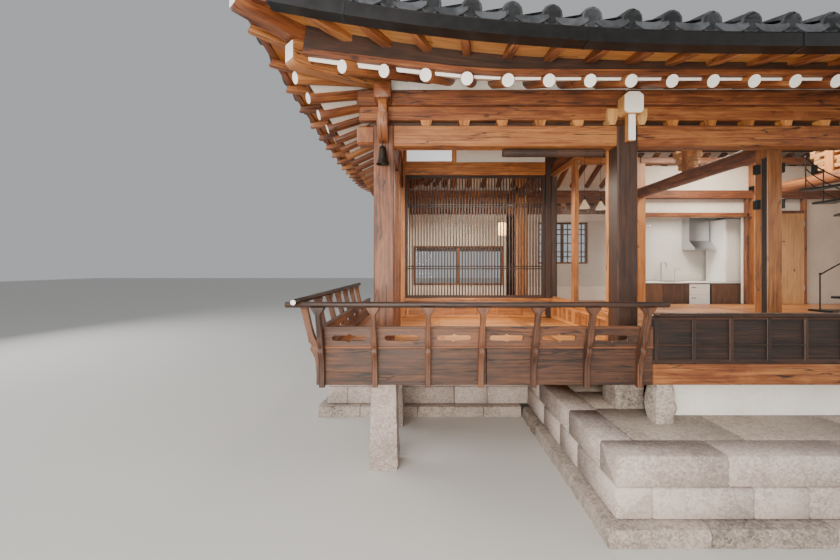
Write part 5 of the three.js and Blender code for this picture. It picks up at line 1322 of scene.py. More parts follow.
def planks(x0, x1, y0, y1, joist=0.9):
    """Joists along Y, 120 mm wide, and planks along X between them, each with its own worn edge."""
    bits = []
    for k, (a, b) in enumerate(pairwise(lengths(x1 - x0, joist, 0.0) + x0)):
        bits.append(board(a + 0.001, a + 0.12, y0, y1, PLANK_LOW, FLOOR, 0.004, 3))
        for c, d in pairwise(lengths(y1 - y0, 0.27, k * 1.3) + y0):
            bits.append(board(a + 0.121, b, c + 0.0015, d - 0.0015, PLANK_LOW, FLOOR - 0.0005, 0.004, 3))
    return bits


def floor_beams(*places):
    """Beams under the planks, one for each (x0, x1, y0, y1)."""
    return boards(*((*place, JOIST_LOW, PLANK_LOW + 0.001, 0.008) for place in places))


def deck():
    """The pavilion's floor, its strip behind the lattice, and the beams under it."""
    x0, y0, x1 = DECK_LEFT + 0.04, DECK_FRONT + 0.04, PAVILION_X - 0.06
    bits = planks(x0, x1, y0, SCREEN_Y + 0.06) + planks(x0, -END_X - 0.1, SCREEN_Y + 0.062, DECK_BACK)
    return bits + floor_beams((x0, x1, y0, y0 + 0.12), (x0, x0 + 0.12, y0, DECK_BACK),
                              (x0, x1, SCREEN_Y - 0.2, SCREEN_Y - 0.08), (x0, x1, -1.56, -1.44))


def hall_deck():
    """The hall's floor, the floors of the rooms beside the kitchen and behind the lattice, and beams."""
    x0, back = PAVILION_X - 0.06, FRONT_Y - 0.1
    bits = []
    for place in ((x0, 4.85, -2.985, -2.46), (x0, 4.69, -2.458, 1.5), (x0, 0.01, 1.502, back),
                  (2.6, 4.69, 1.502, back), (-4.69, x0, SCREEN_Y + 0.061, back)):
        bits += planks(*place, 1.2)
    return bits + floor_beams(*((x0, 4.69, y - 0.06, y + 0.06) for y in (-2.55, -1.5, 1.38)))


make("skirt_boards", skirt(), FLOOR_FINISH, ("pavilion_skirt",))
make("pavilion_planks", deck(), FLOOR_FINISH, ("pavilion_floor",))
make("hall_planks", hall_deck(), FLOOR_FINISH, ("hall_floor",))

# %% [markdown]
# Veranda parapet. In front of the hall a beam carries a low panelled parapet in two rows of small
# framed panels, under a flat capping. Stiles and rails stand 12 mm proud of the panels.

# %% Parapet
def parapet():
    """A sill beam in two lengths, a thin panel with stiles 330 mm apart and three rails on it, a flat
    capping, and the short return at the right end."""
    x0, x1, y = PAVILION_X + 0.001, END_X + 0.1, DECK_FRONT
    bits = boards((x0, 1.2, y, y + 0.08, SILL, 1.13, 0.008), (1.2, x1, y, y + 0.08, SILL, 1.13, 0.008),
                  (PAVILION_X + 0.05, x1 + 0.01, y - 0.012, y + 0.088, 1.545, 1.575, 0.008, 2),
                  (x0, x1 - 0.001, y + 0.026, y + 0.06, 1.125, 1.55, 0.002, 2))
    for z0, z1 in ((1.13, 1.172), (1.288, 1.306), (1.52, 1.546)):
        bits.append(board(x0, x1, y + 0.013, y + 0.064, z0, z1, 0.004, 2))
    for x in np.arange(x0 + 0.04, x1, 0.33):
        bits.append(board(x - 0.018, min(x + 0.018, x1), y + 0.012, y + 0.064, 1.131, 1.545, 0.004, 2))
    return bits + [board(x1 - 0.05, x1, y + 0.065, -2.651, SILL, 1.545, 0.006, 2)]


make("veranda_panels", parapet(), TIMBER, ("veranda_parapet",))

# %% [markdown]
# Pavilion walls. The back wall frames a lattice of thin uprights over a boarded wainscot, with a small
# window over its lintel; the side wall towards the hall is glazed over the same wainscot.

# %% Back wall and lattice
LOW_RAIL, BOARDS_TOP, SILL_TOP, LATTICE_TOP = 1.262, 1.465, 1.515, 3.364
TRANSOM_LOW, TRANSOM_TOP, WALL_TOP = 3.556, 3.78, 3.8
LATTICE_STEP = 0.0445


def back_wall():
    """The frame round the lattice: stiles, lintel, transom, sill, and a wainscot of boards and battens."""
    x0, x1, y = -4.8, -2.46, SCREEN_Y
    a, b = x0 + 0.12, x1 - 0.11
    bits = boards((x0, a, y - 0.06, y + 0.06, FLOOR, 3.178, 0.006, 3),
                  (x0 + 0.09, a, y - 0.06, y + 0.06, 3.178, WALL_TOP, 0.004, 3),
                  (b, x1 + 0.06, y - 0.06, y + 0.06, FLOOR, WALL_TOP, 0.006, 2),
                  (a, b, y - 0.05, y + 0.05, LATTICE_TOP, TRANSOM_LOW, 0.006, 3),
                  (a, b, y - 0.05, y + 0.05, TRANSOM_TOP, WALL_TOP, 0.004, 3),
                  (-3.955, -3.91, y - 0.05, y + 0.05, TRANSOM_LOW, TRANSOM_TOP, 0.004, 3),
                  (x0 + 0.1, x1 - 0.05, y - 0.08, y + 0.06, BOARDS_TOP, SILL_TOP, 0.008, 3),
                  (a, b, y - 0.055, y + 0.05, 1.40, BOARDS_TOP, 0.004, 3),
                  (a, b, y - 0.03, y + 0.03, FLOOR, 1.402, 0.002, 3),
                  (a, b, y - 0.055, y + 0.04, FLOOR, LOW_RAIL, 0.004, 3))
    for x in -4.305 + 0.3405 * np.arange(-1, 5):
        if x > x0 + 0.14:
            bits.append(board(x - 0.017, x + 0.017, y - 0.052, y - 0.02, LOW_RAIL, 1.4, 0.005, 3))
    return bits + boards((-3.91, x1 - 0.1, y - 0.02, y + 0.02, TRANSOM_LOW, TRANSOM_TOP, 0.002, 4),
                         (-4.68, -4.655, y - 0.03, y + 0.02, TRANSOM_LOW, TRANSOM_TOP, 0.003, 3),
                         (-3.975, -3.955, y - 0.03, y + 0.02, TRANSOM_LOW, TRANSOM_TOP, 0.003, 3),
                         (-4.655, -3.975, y - 0.03, y + 0.02, TRANSOM_LOW, 3.576, 0.003, 3))


def lattice():
    """A frame of 40 mm, uprights 18 mm wide every 44.5 mm, and two pairs of thin cross bars behind."""
    x0, x1, y, z0, z1 = -4.68, -2.57, SCREEN_Y, SILL_TOP, LATTICE_TOP
    bits = boards((x0, x1, y - 0.025, y + 0.01, z0, z0 + 0.04, 0.003, 2),
                  (x0, x1, y - 0.025, y + 0.01, z1 - 0.04, z1, 0.003, 2),
                  (x0, x0 + 0.04, y - 0.026, y + 0.011, z0, z1, 0.003, 2),
                  (x1 - 0.04, x1, y - 0.026, y + 0.011, z0, z1, 0.003, 2))
    for x in np.arange(x0 + 0.04 + LATTICE_STEP / 2, x1 - 0.045, LATTICE_STEP):
        bits.append(board(x - 0.009, x + 0.009, y - 0.02, y, z0 + 0.02, z1 - 0.02, 0.002, 2))
    for z in (1.955, 1.99, 2.89, 2.925):
        bits.append(board(x0 + 0.02, x1 - 0.02, y - 0.006, y + 0.008, z - 0.009, z + 0.009, 0.002, 2))
    return bits


WALL_FINISH = TIMBER + [LIME_PLASTER]
make("pavilion_back_frame", back_wall(), WALL_FINISH, ("pavilion_back_wall",))
make("lattice_bars", lattice(), WALL_FINISH, ("lattice_screen",))


# %% Side wall
def side_wall():
    """The glazed wall towards the hall: wainscot, sill, head, three stiles, battens and glazing bars."""
    x0, x1, front, back = -2.5, -2.44, -2.4497, -0.6403
    in0, in1 = x0 + 0.012, x1 - 0.012
    bays = ((front + 0.06, -1.55), (-1.45, back - 0.06))
    bits = boards((in0, in1, front, back, FLOOR, 1.466, 0.002, 3),
                  (x0 - 0.01, x1, front, back, BOARDS_TOP, SILL_TOP, 0.007, 3),
                  (x0, x1, front, back, 3.337, 3.377, 0.006, 3),
                  *((x0, x1, a, b, FLOOR, LOW_RAIL, 0.004, 3) for a, b in bays))
    for a, b in ((front, front + 0.06), (-1.55, -1.45), (back - 0.06, back)):
        bits.append(board(x0, x1, a, b, FLOOR, BOARDS_TOP, 0.005, 3))
        bits.append(board(x0, x1, a, b, SILL_TOP, 3.337, 0.005, 2 if a > -1 else 3))
    for y in np.concatenate([np.arange(-2.22, -1.6, 0.17), np.arange(-1.28, -0.72, 0.17)]):
        bits.append(board(x0, x1, y - 0.015, y + 0.015, LOW_RAIL, 1.42, 0.004, 3))
    for a, b in bays:
        bits += boards((x0, x1, a, b, 1.42, 1.4655, 0.004, 3), (in0, in1, a, b, 1.516, 1.545, 0.003, 3),
                       (in0, in1, a, b, 3.312, 3.337, 0.003, 3))
    return bits


make("pavilion_side_frame", side_wall(), WALL_FINISH, ("pavilion_side_wall",))

# %% [markdown]
# Cross frames. On three column lines the beams run from front to back: squared eave beams whose heads
# come out past the purlin, white on the sawn face, with a narrow bracket under each, and a round log
# over the hall. Short posts on the logs carry the ridge purlin on stacked arms. Each piece is a section
# carried along its beam, because the heads and the necks differ only in that section.

# %% Cross frames
HEAD = np.array([(-0.07, -0.105), (0.07, -0.105), (0.095, -0.08), (0.095, 0.068), (0.05, 0.105),
                 (-0.05, 0.105), (-0.095, 0.068), (-0.095, -0.08)])
FRAME_FINISH = TIMBER + [LIGHT_OAK, BLACK_STEEL]
BEAM_LEVEL = 3.56


def beam_head(x):
    """White head outside the purlin, the eave beam behind it, a neck between them, the bracket below, and
    two lofts whose half width grows from 22 to 50 mm upwards, one on each side of the bracket."""
    size = np.array([0.95, 1, 1])[:, None, None]
    head = [(x, y, BEAM_LEVEL) for y in (-2.765, -2.759, -2.643)]
    bits = [sweep(head, HEAD * size, slot=4, caps=(1, 0)),
            sweep([(x, y, BEAM_LEVEL) for y in (-2.457, -2.2, -1.41)], HEAD)]
    bits += boards((x - 0.094, x + 0.094, -2.645, -2.455, 3.457, 3.583, 0.003),
                   (x - 0.034, x + 0.034, -2.722, -2.652, 3.206, 3.455, 0.004, 3),
                   (x - 0.034, x + 0.034, -2.73, -2.7215, 3.206, 3.455, 0.003, 1))
    half = np.array([(0.022, 0.075), (0.03, 0.075), (0.045, 0.075), (0.05, 0.075), (0.05, 0.075)])
    level = np.array([3.386, 3.40, 3.44, 3.47, 3.545])
    for side in (-1, 1):
        bits.append(block_loft(x + side * 0.146, -2.565, half, level, 4))
    return bits


def log_beam(x, phase):
    """A barely squared log: its radius and its line wander by a few millimetres, as sines of its run."""
    t = np.linspace(0, 1, 15)
    level = 3.48 + 0.004 * np.sin(3 * t + phase)
    path = track(x + 0.006 * np.sin(5 * t + phase), -1.41 + 2.82 * t, level)
    return pole(path, 0.106 + 0.003 * np.sin(11 * t + phase), 20)


def stacked_arms(x):
    """Arms of growing length under the ridge purlin, with small blocks between them."""
    bits = []
    for z, reach in ((3.62, 0.20), (3.74, 0.27), (3.86, 0.34)):
        bits.append(board(x - 0.045, x + 0.045, -reach, reach, z, z + 0.07, 0.008, 4))
        for y in (-reach + 0.05, reach - 0.05):
            bits.append(board(x - 0.05, x + 0.05, y - 0.045, y + 0.045, z + 0.07, z + 0.12, 0.008, 4))
    return bits


def cross_frame(x, phase):
    """One column line: both heads, the log, the arms, the inner posts and the short post on the log. The
    inner post in front stands on the log where the pavilion opens into the hall."""
    heads = beam_head(x)
    bits = heads + mirrored(heads, 1, -1) + [log_beam(x, phase)] + stacked_arms(x)
    for y in (-INNER_Y, INNER_Y):
        low = 3.48 if x < -1 and y < 0 else SILL
        bits.append(board(x - 0.095, x + 0.095, y - 0.095, y + 0.095, low, 4.086, 0.009, 3))
    return bits + [board(x - 0.07, x + 0.07, -0.07, 0.07, 3.5, 4.986, 0.008, 3)]


frames_made = []
for i, x in enumerate(LINES[1:4]):
    frames_made += cross_frame(x, 2.1 * i)
# Inner purlins and the ridge purlin, in lengths that meet over the frames.
for a, b in pairwise((-3.665, -2.4, 0, 2.4, 3.665)):
    for y, half, low, high in ((-INNER_Y, 0.075, 4.085, 4.205), (INNER_Y, 0.075, 4.085, 4.205),
                               (0, 0.075, 4.985, 5.12)):
        frames_made.append(board(a + 0.001, b - 0.001, y - half, y + half, low, high, 0.01, 3))
# Steel plates where the screen's rails meet the middle post, and a thin dark strip on the post.
for x0, x1, y0, y1 in ((-0.15, -0.0945, -1.5, -1.44), (0.0945, 0.125, -1.6, -1.53)):
    for z in (3.17, 2.72):
        frames_made.append(board(x0, x1, y0, y1, z, z + 0.12, 0.002, 5))
# The dark strip is a 3 mm sheet on the post's left face: painted shade of that face.
frames_made.append(board(-0.0975, -0.0945, -1.588, -1.512, FLOOR, 3.36, 0.001, 2))
make("cross_frame_timbers", frames_made, FRAME_FINISH, ("inner_frame",))

# %% [markdown]
# Hips, gables and gutter. A heavy hip rafter runs out on each diagonal with a flying one on its back,
# both painted white at the end. Curved boards close the gables. The gutter is folded bronze sheet,
# lapped every few metres under a narrow strap. One corner is made, and its mirror images are the others.

# %% Hips
HIP_MARKS = ([(-1.03, 3.976, 4.20), (0.60, 3.652, 3.872), (0.69, 3.645, 3.856), (0.712, 3.665, 3.845),
              (0.719, 3.69, 3.835)],
             [(-0.3, 4.052, 4.098), (0.68, 3.856, 4.016), (0.95, 3.905, 4.006), (1.022, 3.918, 4.004),
              (1.034, 3.935, 3.995)])


def hip_pair():
    """Two timbers on the diagonal. The marks are (run along one axis, low, high); the diagonal is longer
    by the root of two. The corner's lower edge is rounded off, and the end is 8 mm narrower."""
    bits = []
    for marks, wide in zip(np.array(HIP_MARKS), (0.14, 0.124)):
        run, low, high = marks.T
        path = track(0, -run * math.sqrt(2), (low + high) / 2)
        narrow = wide - 0.008 * (run == run[-1])
        section = np.stack([octagon(w, tall, 0.008) for w, tall in zip(narrow, high - low)])
        bits.append(upright_loft(path, section, (0, 1)))
    return turned(bits, -math.pi / 4, (-END_X, -FRONT_Y, 0))


CORNERS = {"front_left": (1, 1), "front_right": (-1, 1), "rear_left": (1, -1), "rear_right": (-1, -1)}
for name, flip in CORNERS.items():
    hips = mirrored(hip_pair(), *flip)
    make("hip_timbers_" + name, hips, EAVE_FINISH, ("hip_rafter_" + name,))


# %% Gables
def gable_trim():
    """Two curved boards, 300 mm deep, that follow the roof line 27 mm under it and meet at the ridge."""
    y = np.linspace(-1.325, 1.325, 41)
    top = bed_top(EAVE_Y - abs(y)) - 0.027
    low = np.maximum(top - 0.30, bed_top(HIP_RUN) + 0.01)
    bits = []
    for part in (y <= -0.112, y >= 0.112):
        path = track(-GABLE_X - 0.024, y[part], (top[part] + low[part]) / 2)
        section = np.stack([octagon(0.038, tall, 0.005) for tall in top[part] - low[part]])
        bits.append(upright_loft(path, section))
    return bits


make("gable_trim_left", gable_trim(), [DARK_PINE_AND_SHADE], ("gable_boards_left",))
make("gable_trim_right", mirrored(gable_trim(), -1), [DARK_PINE_AND_SHADE], ("gable_boards_right",))
for side in ("left", "right"):
    nodes["gable_wall_" + side].data.materials[0] = LIME_PLASTER


# %% Gutter
GUTTER = [(-0.056, 0.096), (-0.056, 0), (0.056, 0), (0.056, 0.096), (0.060, 0.1), (0.056, 0.104),
          (0.052, 0.1), (0.052, 0.005), (-0.052, 0.005), (-0.052, 0.1)]


def gutter():
    """A folded channel, 112 mm wide and 100 mm high with rolled lips, carried along a line 62 mm outside
    the tips, with a plate in each end and straps round it at seven places."""
    x, y, far, _ = front_edge(-0.062, 40)
    path = track(x, y, 3.601 + LIFT * lift(far))[1:-1]
    bits = [sweep(path, GUTTER, caps=(None, None))]
    for ex, ey, ez in path[[0, -1]]:
        bits.append(board(ex - 0.003, ex + 0.003, ey - 0.056, ey + 0.056, ez + 0.001, ez + 0.098, 0.002))
    for at in (-5.0, -3.2, -1.62, 0.15, 1.9, 3.6, 5.1):
        here = [[np.interp(at + s, path[:, 0], path[:, k]) for k in range(3)] for s in (-0.011, 0.011)]
        bits.append(sweep(here, octagon(0.119, 0.107, 0.003) + (0, 0.0505), slot=1))
    return bits


make("gutter_sheet", gutter(), [GUTTER_STEEL, BLACK_STEEL], ("gutter_front",))

# %% [markdown]
# Walls and windows. Lime plaster fills the bays between the posts. Each window has a pine frame with a
# grid of slim bars on the outside, as paper windows have, and float glass behind. The solids of the
# plaster and the glass are plain and stay; only their finish is given here.

# %% Finishes on the plain solids
for name in ("left_wall", "right_wall", "rear_wall", "kitchen_wall", "underfloor_wall"):
    nodes[name].data.materials[0] = LIME_PLASTER
for name in ("front_glass", "rear_glass", "left_glass", "right_glass", "side_pane_front", "side_pane_back"):
    nodes[name].data.materials[0] = WINDOW_GLASS
nodes["kitchen_floor"].data.materials[0] = FLOOR_STONE
nodes["cooker_hood"].data.materials[0] = STEEL


# %% Windows
def window(u, low=2.05, high=3.0, half=0.575, barred=True):
    """A frame of 70 mm, a middle mullion, and bars 22 mm wide, 105 mm apart, in the plane of a wall. In
    the wide window of the left room, which isn't barred, the uprights stand inside the mullion."""
    y, out, foot, head = FRONT_Y - 0.065, half + 0.03, low + 0.04, high - 0.04
    bits = boards((u - out, u + out, y, y + 0.075, low - 0.03, foot, 0.006),
                  (u - out, u + out, y, y + 0.075, head, high + 0.03, 0.006),
                  (u - 0.03, u + 0.03, y, y + 0.06, foot, head, 0.004))
    for side in (-1, 1):
        x = u + side * (half - 0.005)
        bits.append(board(x - 0.035, x + 0.035, y, y + 0.075, foot, head, 0.006))
        for x in u + side * np.arange(0.13, half - 0.09, 0.105) * barred:
            bits.append(board(x - 0.011, x + 0.011, y + 0.02, y + 0.045, foot, head, 0.003))
    for z in low + (high - low) * np.array([0.17, 0.29, 0.5, 0.71, 0.83][: 5 * barred]):
        inner = half - 0.03
        bits.append(board(u - inner, u + inner, y + 0.024, y + 0.049, z - 0.011, z + 0.011, 0.003))
    return bits


def wall_rails(spans, level):
    """Rails that divide the plaster of each bay, level with the foot of the windows."""
    y0, y1 = FRONT_Y - 0.055, FRONT_Y + 0.045
    return [board(a + 0.101, b - 0.101, y0, y1, level - 0.06, level + 0.06, 0.006) for a, b in spans]


def end_rails(*spans):
    """The same rails in the right wall."""
    return [board(END_X - 0.055, END_X + 0.045, a, b, 1.87, 1.99, 0.006) for a, b in spans]


rear = window(-3.6, 1.56, 2.46, 1.03, False) + window(-1.2) + window(3.6)
rear += boards((-4.64, -2.56, FRONT_Y - 0.06, FRONT_Y - 0.02, 2.335, 2.43, 0.004, 2),
               (-4.699, -2.501, FRONT_Y - 0.09, FRONT_Y - 0.051, 2.431, 2.53, 0.006))
rear += wall_rails(pairwise(LINES[1:]), 1.93) + wall_rails([LINES[:2]], 1.43)
make("rear_windows", rear, TIMBER)
to_side = [(p - (0, FRONT_Y, 0), f, u, s) for p, f, u, s in window(0)]
right = turned(to_side, math.pi / 2, (END_X, 0, 0))
left = turned(to_side, -math.pi / 2, (-END_X, 0.52, 0))
make("right_window", right, TIMBER)
make("left_window", left, TIMBER)
middle = (1.601, 2.449)
make("right_wall_rails", end_rails((-2.449, -1.601), (-1.399, 1.399), middle), TIMBER)
make("left_wall_rails", mirrored(end_rails((-0.515, 1.399), middle), -1), TIMBER)


# %% Ceiling and lit pane
def ceiling():
    """Plastered slopes between the inner purlins and the ridge purlin: a sheet 12 mm under the bed."""
    y = np.array([-1.42, -0.76, -0.09, 0.09, 0.76, 1.42])
    low = track(0, y, bed_low(EAVE_Y - abs(y)) - 0.012)
    ring = np.concatenate([low, low[::-1] + (0, 0, 0.006)])
    return loft(np.stack([ring + (x, 0, 0) for x in (-3.664, 0, 3.664)]), 0)


make("hall_ceiling", [ceiling()], [LIME_PLASTER])
# Frosted glass with a light behind it: an even, cool glow.
LIT_GLASS = clear("frosted_lit_glass", "#f4f8fb", 0.4, 0.55, "#e8f1f8")
pane = board(-4.655, -3.975, -0.585, -0.579, 3.576, TRANSOM_TOP, 0.001)
make("transom_pane", [pane], [LIT_GLASS])

# %% [markdown]
# Kitchen row. The frame of the wall is pine, as in the hall. Behind it stand units with walnut and
# white fronts under a white worktop, a tall white cupboard on the worktop, a tap and a hood of steel.
# Boxes with their edges taken off are enough for it, and the taps are tubes along bent paths.

# %% Frame of the kitchen wall
def kitchen_frame():
    """Two heads, a transom, and stiles: at the kitchen's opening and round the door."""
    y0, y1, head = INNER_Y - 0.06, INNER_Y + 0.06, 3.374
    return boards((0.0953, 2.3047, y0, y1, head, 3.538, 0.008),
                  (2.4953, END_X - 0.105, y0, y1, head, 3.538, 0.008),
                  (0.0953, 2.3047, y0 + 0.02, y1 - 0.02, 3.0, 3.087, 0.006),
                  (0.0953, 0.13, y0 + 0.02, y1 - 0.02, FLOOR, head, 0.004),
                  (2.19, 2.24, y0 + 0.02, y1 - 0.02, FLOOR, head, 0.004),
                  (2.687, 2.742, 1.45, 1.55, FLOOR, head, 0.005),
                  (3.355, 3.41, 1.45, 1.55, FLOOR, head, 0.005),
                  (2.742, 3.355, 1.45, 1.55, 3.071, 3.126, 0.005))


make("kitchen_wall_frame", kitchen_frame(), TIMBER, ("kitchen_frame",))


# %% Kitchen units
def tube(points, radius, slot):
    """A bent pipe of twelve sides, for taps, levers and hinges."""
    return pole(points, radius, 12, (1, 0.2, 0.1), slot)


def kitchen_units():
    """Boxes with 4 mm joints; slots: 0 walnut, 1 white lacquer, 2 steel, 3 black steel. The tap is two
    straight lengths joined by a half circle of 60 mm radius."""
    y0, y1, top = 1.80, 2.385, 1.657
    drawer_top = top - 0.047
    bits = boards((0.125, 2.385, y0 + 0.025, y1, 0.86, top - 0.03, 0.002, 0),
                  (0.13, 2.38, y0 + 0.06, y1, 0.78, 0.86, 0.001, 3),
                  (0.11, 2.395, y0, y1, top - 0.028, top, 0.003, 1),
                  (0.112, 2.393, y0 + 0.012, y0 + 0.03, top - 0.044, top - 0.028, 0.001, 3))
    for a, b in ((0.13, 0.69), (0.694, 1.252), (1.735, 2.385)):
        bits.append(board(a, b, y0 + 0.005, y0 + 0.026, 0.865, drawer_top, 0.002, 0))
    for low, high in ((0.865, 1.125), (1.129, 1.385), (1.389, drawer_top)):
        bits.append(board(1.262, 1.69, y0 + 0.005, y0 + 0.026, low, high, 0.002, 1))
        bits.append(board(1.30, 1.40, y0 + 0.001, y0 + 0.006, high - 0.075, high - 0.06, 0.001, 3))
    bits += boards((1.694, 1.731, y0 + 0.012, y0 + 0.027, 0.865, drawer_top, 0.002, 3),
                   (2.024, 2.396, y0 + 0.01, y1, top + 0.004, 2.998, 0.002, 1),
                   (2.04, 2.39, y0 + 0.001, y0 + 0.01, top + 0.02, 2.99, 0.002, 1),
                   (0.9, 1.16, 1.93, 2.24, top, top + 0.004, 0.001, 3))
    x, y = 0.943, 2.28
    turn = np.linspace(0, math.pi, 9)
    bend = track(x + 0.06 * (1 - np.cos(turn)), y, 2.03 + 0.06 * np.sin(turn))
    bits.append(tube(np.vstack([[(x, y, top), (x, y, 1.85)], bend, [(x + 0.12, y, 1.95)]]), 0.011, 2))
    bits.append(tube([(x, y, top), (x, y, top + 0.02)], 0.026, 2))
    x = 1.25
    spout = [(x, y, top), (x, y, 1.93), (x + 0.02, y - 0.02, 1.94), (x + 0.06, y - 0.08, 1.94)]
    return bits + [tube(spout, 0.009, 2), tube([(x, y, top), (x, y, top + 0.02)], 0.022, 2)]


UNIT_FINISH = [WALNUT, WHITE_LACQUER, STEEL, BLACK_STEEL]
make("kitchen_units", kitchen_units(), UNIT_FINISH, ("kitchen_cabinets",))


# %% Door
def door():
    """An oak veneered leaf with a lever on a plate and two hinges; it rides on the door's own body."""
    x0, x1, y0, y1 = 2.75, 3.35, 1.45, 1.49
    lever = x0 + 0.055
    bits = boards((x0, x1, y0, y1, 1.226, 3.066, 0.002, 0),
                  (lever - 0.014, lever + 0.014, y0 - 0.011, y0 + 0.001, 2.44, 2.54, 0.002, 1))
    bits.append(tube([(lever, y0, 2.49), (lever, y0 - 0.048, 2.49)], 0.008, 1))
    bits.append(board(lever - 0.01, lever + 0.108, y0 - 0.057, y0 - 0.044, 2.482, 2.498, 0.004, 1))
    for z in (1.5, 2.8):
        bits.append(tube([(3.352, 1.446, z), (3.352, 1.446, z + 0.1)], 0.0047, 2))
        bits.append(board(3.344, 3.352, 1.446, 1.451, z + 0.002, z + 0.098, 0.0005, 2))
    return bits


make("door_panel", door(), [LIGHT_OAK, BLACK_STEEL, STEEL], ("door_leaf",), "door")

# %% [markdown]
# Spiral stair. Black painted steel: wedge treads welded to a pole, round balusters with small balls on
# top, and three rails that climb with the treads. Helices are worked out point by point.

# %% Spiral stair
STAIR_X, STAIR_Y, TREAD_RISE, TREAD_TURN = 1.75, -0.82, 0.204, math.pi / 6
FIRST_ANGLE, FIRST_TREAD, RAIL_RADIUS = math.radians(192), 1.37, 0.516


def helix(start, end, rise):
    """Rail points at angle 192 deg + 30 deg times a tread number, and 204 mm of height to each tread."""
    tread = np.linspace(start, end, int(abs(end - start) * 4) + 1)
    angle = FIRST_ANGLE + tread * TREAD_TURN
    x, y = STAIR_X + RAIL_RADIUS * np.cos(angle), STAIR_Y + RAIL_RADIUS * np.sin(angle)
    return track(x, y, rise + tread * TREAD_RISE)


def tread_plate(step):
    """A wedge with its front edge turned down: the top ring and the foot ring of a short loft."""
    turn = np.array([-0.9, -0.55, -0.28, 0, 0.28, 0.55, 0.9, 0])
    reach = np.array([0.03, 0.53, 0.532, 0.534, 0.532, 0.53, 0.03, 0.028])
    angle = FIRST_ANGLE + (step + turn) * TREAD_TURN
    x, y = STAIR_X + reach * np.cos(angle), STAIR_Y + reach * np.sin(angle)
    top = FIRST_TREAD + step * TREAD_RISE
    rings = [track(x, y, top - z) for z in (0.0, 0.003, 0.027, 0.03)]
    return loft(np.stack(rings)[:, ::-1])


def upright_bar(x, y, z0, z1, radius, sides, slot=0):
    """A round bar that stands at a place between two heights."""
    return pole([(x, y, z0), (x, y, z1)], radius, sides, (0, 1, 0), slot)


def stair():
    """The pole; ten treads, each with a baluster and a ball of 16 mm on it; and three helical rails."""
    bits = [upright_bar(STAIR_X, STAIR_Y, FLOOR, 4.25, 0.037, 20)]
    ball = np.linspace(0.05, math.pi - 0.05, 9)
    for step in range(10):
        bits.append(tread_plate(step))
        x, y, z = helix(step, step, FIRST_TREAD)[0]
        bits.append(upright_bar(x, y, z - 0.022, z + 0.505, 0.009, 10))
        path = track(x, y, z + 0.515 - 0.016 * np.cos(ball))
        bits.append(pole(path, 0.016 * np.sin(ball), 12, (0, 1, 0)))
    for up, start, radius in ((0.5, 0, 0.010), (0.33, 5, 0.008), (0.16, 5, 0.008)):
        bits.append(pole(helix(start, 9, FIRST_TREAD + up), radius, 10))
    return bits


make("spiral_stair_steel", stair(), [BLACK_STEEL], ("spiral_stair",))

# %% [markdown]
# Small things. The blind is a roll of split cane bound with tape. The wind bell is cast bronze, with a
# wire for its clapper. Two glass lamps hang in the hall, and a paper one behind the lattice. Bell and
# lamps are profiles turned about an upright axis, as on a lathe.

# %% Blind, bell and lamps
def blind():
    """Canes round a roll: a ring of 28 ridges, its radius 39 and 36 mm in turn, and tapes round it."""
    z, y = LINTEL_LOW - 0.042, -FRONT_Y + 0.02
    turn = np.arange(28) / 28 * 2 * np.pi
    radius = np.where(np.arange(28) % 2 == 0, 0.0395, 0.036)
    ring = circle(turn) * radius[:, None]
    bits = [sweep([(x, y, z) for x in (-3.607, -3.2, -2.9, -2.594)], ring)]
    for x in (-3.43, -3.1, -2.77):
        bits.append(sweep([(x - 0.012, y, z), (x + 0.012, y, z)], ring * 1.05, slot=1))
    for x in (-3.43, -2.77):
        bits.append(board(x - 0.01, x + 0.01, y - 0.009, y + 0.009, z + 0.03, LINTEL_LOW, 0.002, 1))
    return bits


make("cane_blind_roll", blind(), [CANE, DARK_PINE_AND_SHADE], ("cane_blind",))


def profile_turn(x, y, z, radius, sides=24):
    """A turned shape: one ring at each height and radius, from top to foot and up inside again."""
    turn = np.arange(sides) / sides * 2 * np.pi
    across, z = np.asarray(radius)[:, None], np.asarray(z)[:, None]
    rings = np.stack([x + across * np.cos(turn), y + across * np.sin(turn), z + 0 * turn], -1)
    return loft(rings[:, ::-1])


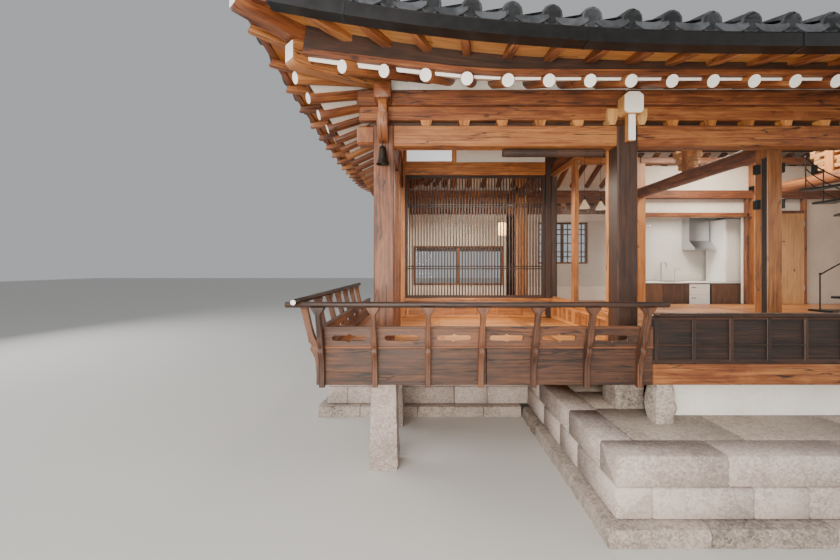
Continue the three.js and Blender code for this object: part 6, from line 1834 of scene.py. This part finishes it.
def bell():
    """A turned bell, thick at the mouth, the rod that it hangs on, and its clapper's wire."""
    x, y, low = -END_X, -FRONT_Y - TAIL + 0.06, 2.965
    height = np.array([0.175, 0.172, 0.16, 0.145, 0.11, 0.07, 0.035, 0.012,
                       0.0, 0.003, 0.03, 0.07, 0.12, 0.15, 0.158])
    radius = np.array([0.004, 0.018, 0.029, 0.035, 0.039, 0.044, 0.051, 0.059,
                       0.062, 0.058, 0.048, 0.041, 0.035, 0.028, 0.004])
    return [profile_turn(x, y, low + height, radius),
            upright_bar(x, y, low + 0.17, LINTEL_LOW + 0.01, 0.0055, 8),
            upright_bar(x, y, low + 0.15, low - 0.04, 0.0015, 6)]


make("wind_bell_bronze", bell(), [CAST_BRONZE], ("wind_bell",))


def lamp(x, y, top):
    """A turned glass cone, 150 mm high, its hanging rod of 3 mm radius and a cap of 14 mm."""
    height = np.array([0.15, 0.145, 0.12, 0.08, 0.04, 0.0, 0.004, 0.04, 0.08, 0.12, 0.14])
    radius = np.array([0.012, 0.02, 0.03, 0.05, 0.075, 0.09, 0.086, 0.071, 0.046, 0.026, 0.01])
    return [profile_turn(x, y, top - 0.15 + height, radius), upright_bar(x, y, top, 4.6, 0.003, 6, 1),
            upright_bar(x, y, top - 0.01, top + 0.05, 0.014, 12, 1)]


LAMPS = [LAMP_GLASS, BLACK_STEEL]
make("hall_lamps", lamp(-1.6, 0.3, 3.15) + lamp(-1.25, 0.45, 3.15), LAMPS)
height = 2.62 + np.array([0.26, 0.26, 0.23, 0.13, 0.03, 0, 0])
shade = profile_turn(-2.8, 1.45, height, [0.01, 0.06, 0.085, 0.092, 0.085, 0.06, 0.01])
room_lamp = [shade, upright_bar(-2.8, 1.45, 2.875, 4.1, 0.003, 6, 1)]
make("room_lamp", room_lamp, [PAPER_SHADE, BLACK_STEEL])

# %% Floor of the studio, its finish, and the count of faces
def studio_floor():
    """One large pale square at the foot of the house."""
    mesh = bpy.data.meshes.new("studio_floor")
    mesh.from_pydata([(-60, -60, 0), (60, -60, 0), (60, 60, 0), (-60, 60, 0)], [], [(0, 1, 2, 3)])
    made, _, surface = new_material("pale_floor")
    surface.inputs["Base Color"].default_value = linear("#c9c6c0")
    surface.inputs["Roughness"].default_value = 0.9
    mesh.materials.append(made)
    floor = bpy.data.objects.new("studio_floor", mesh)
    bpy.context.scene.collection.objects.link(floor)


studio_floor()
print("faces in all", sum(pieces_made.values()))
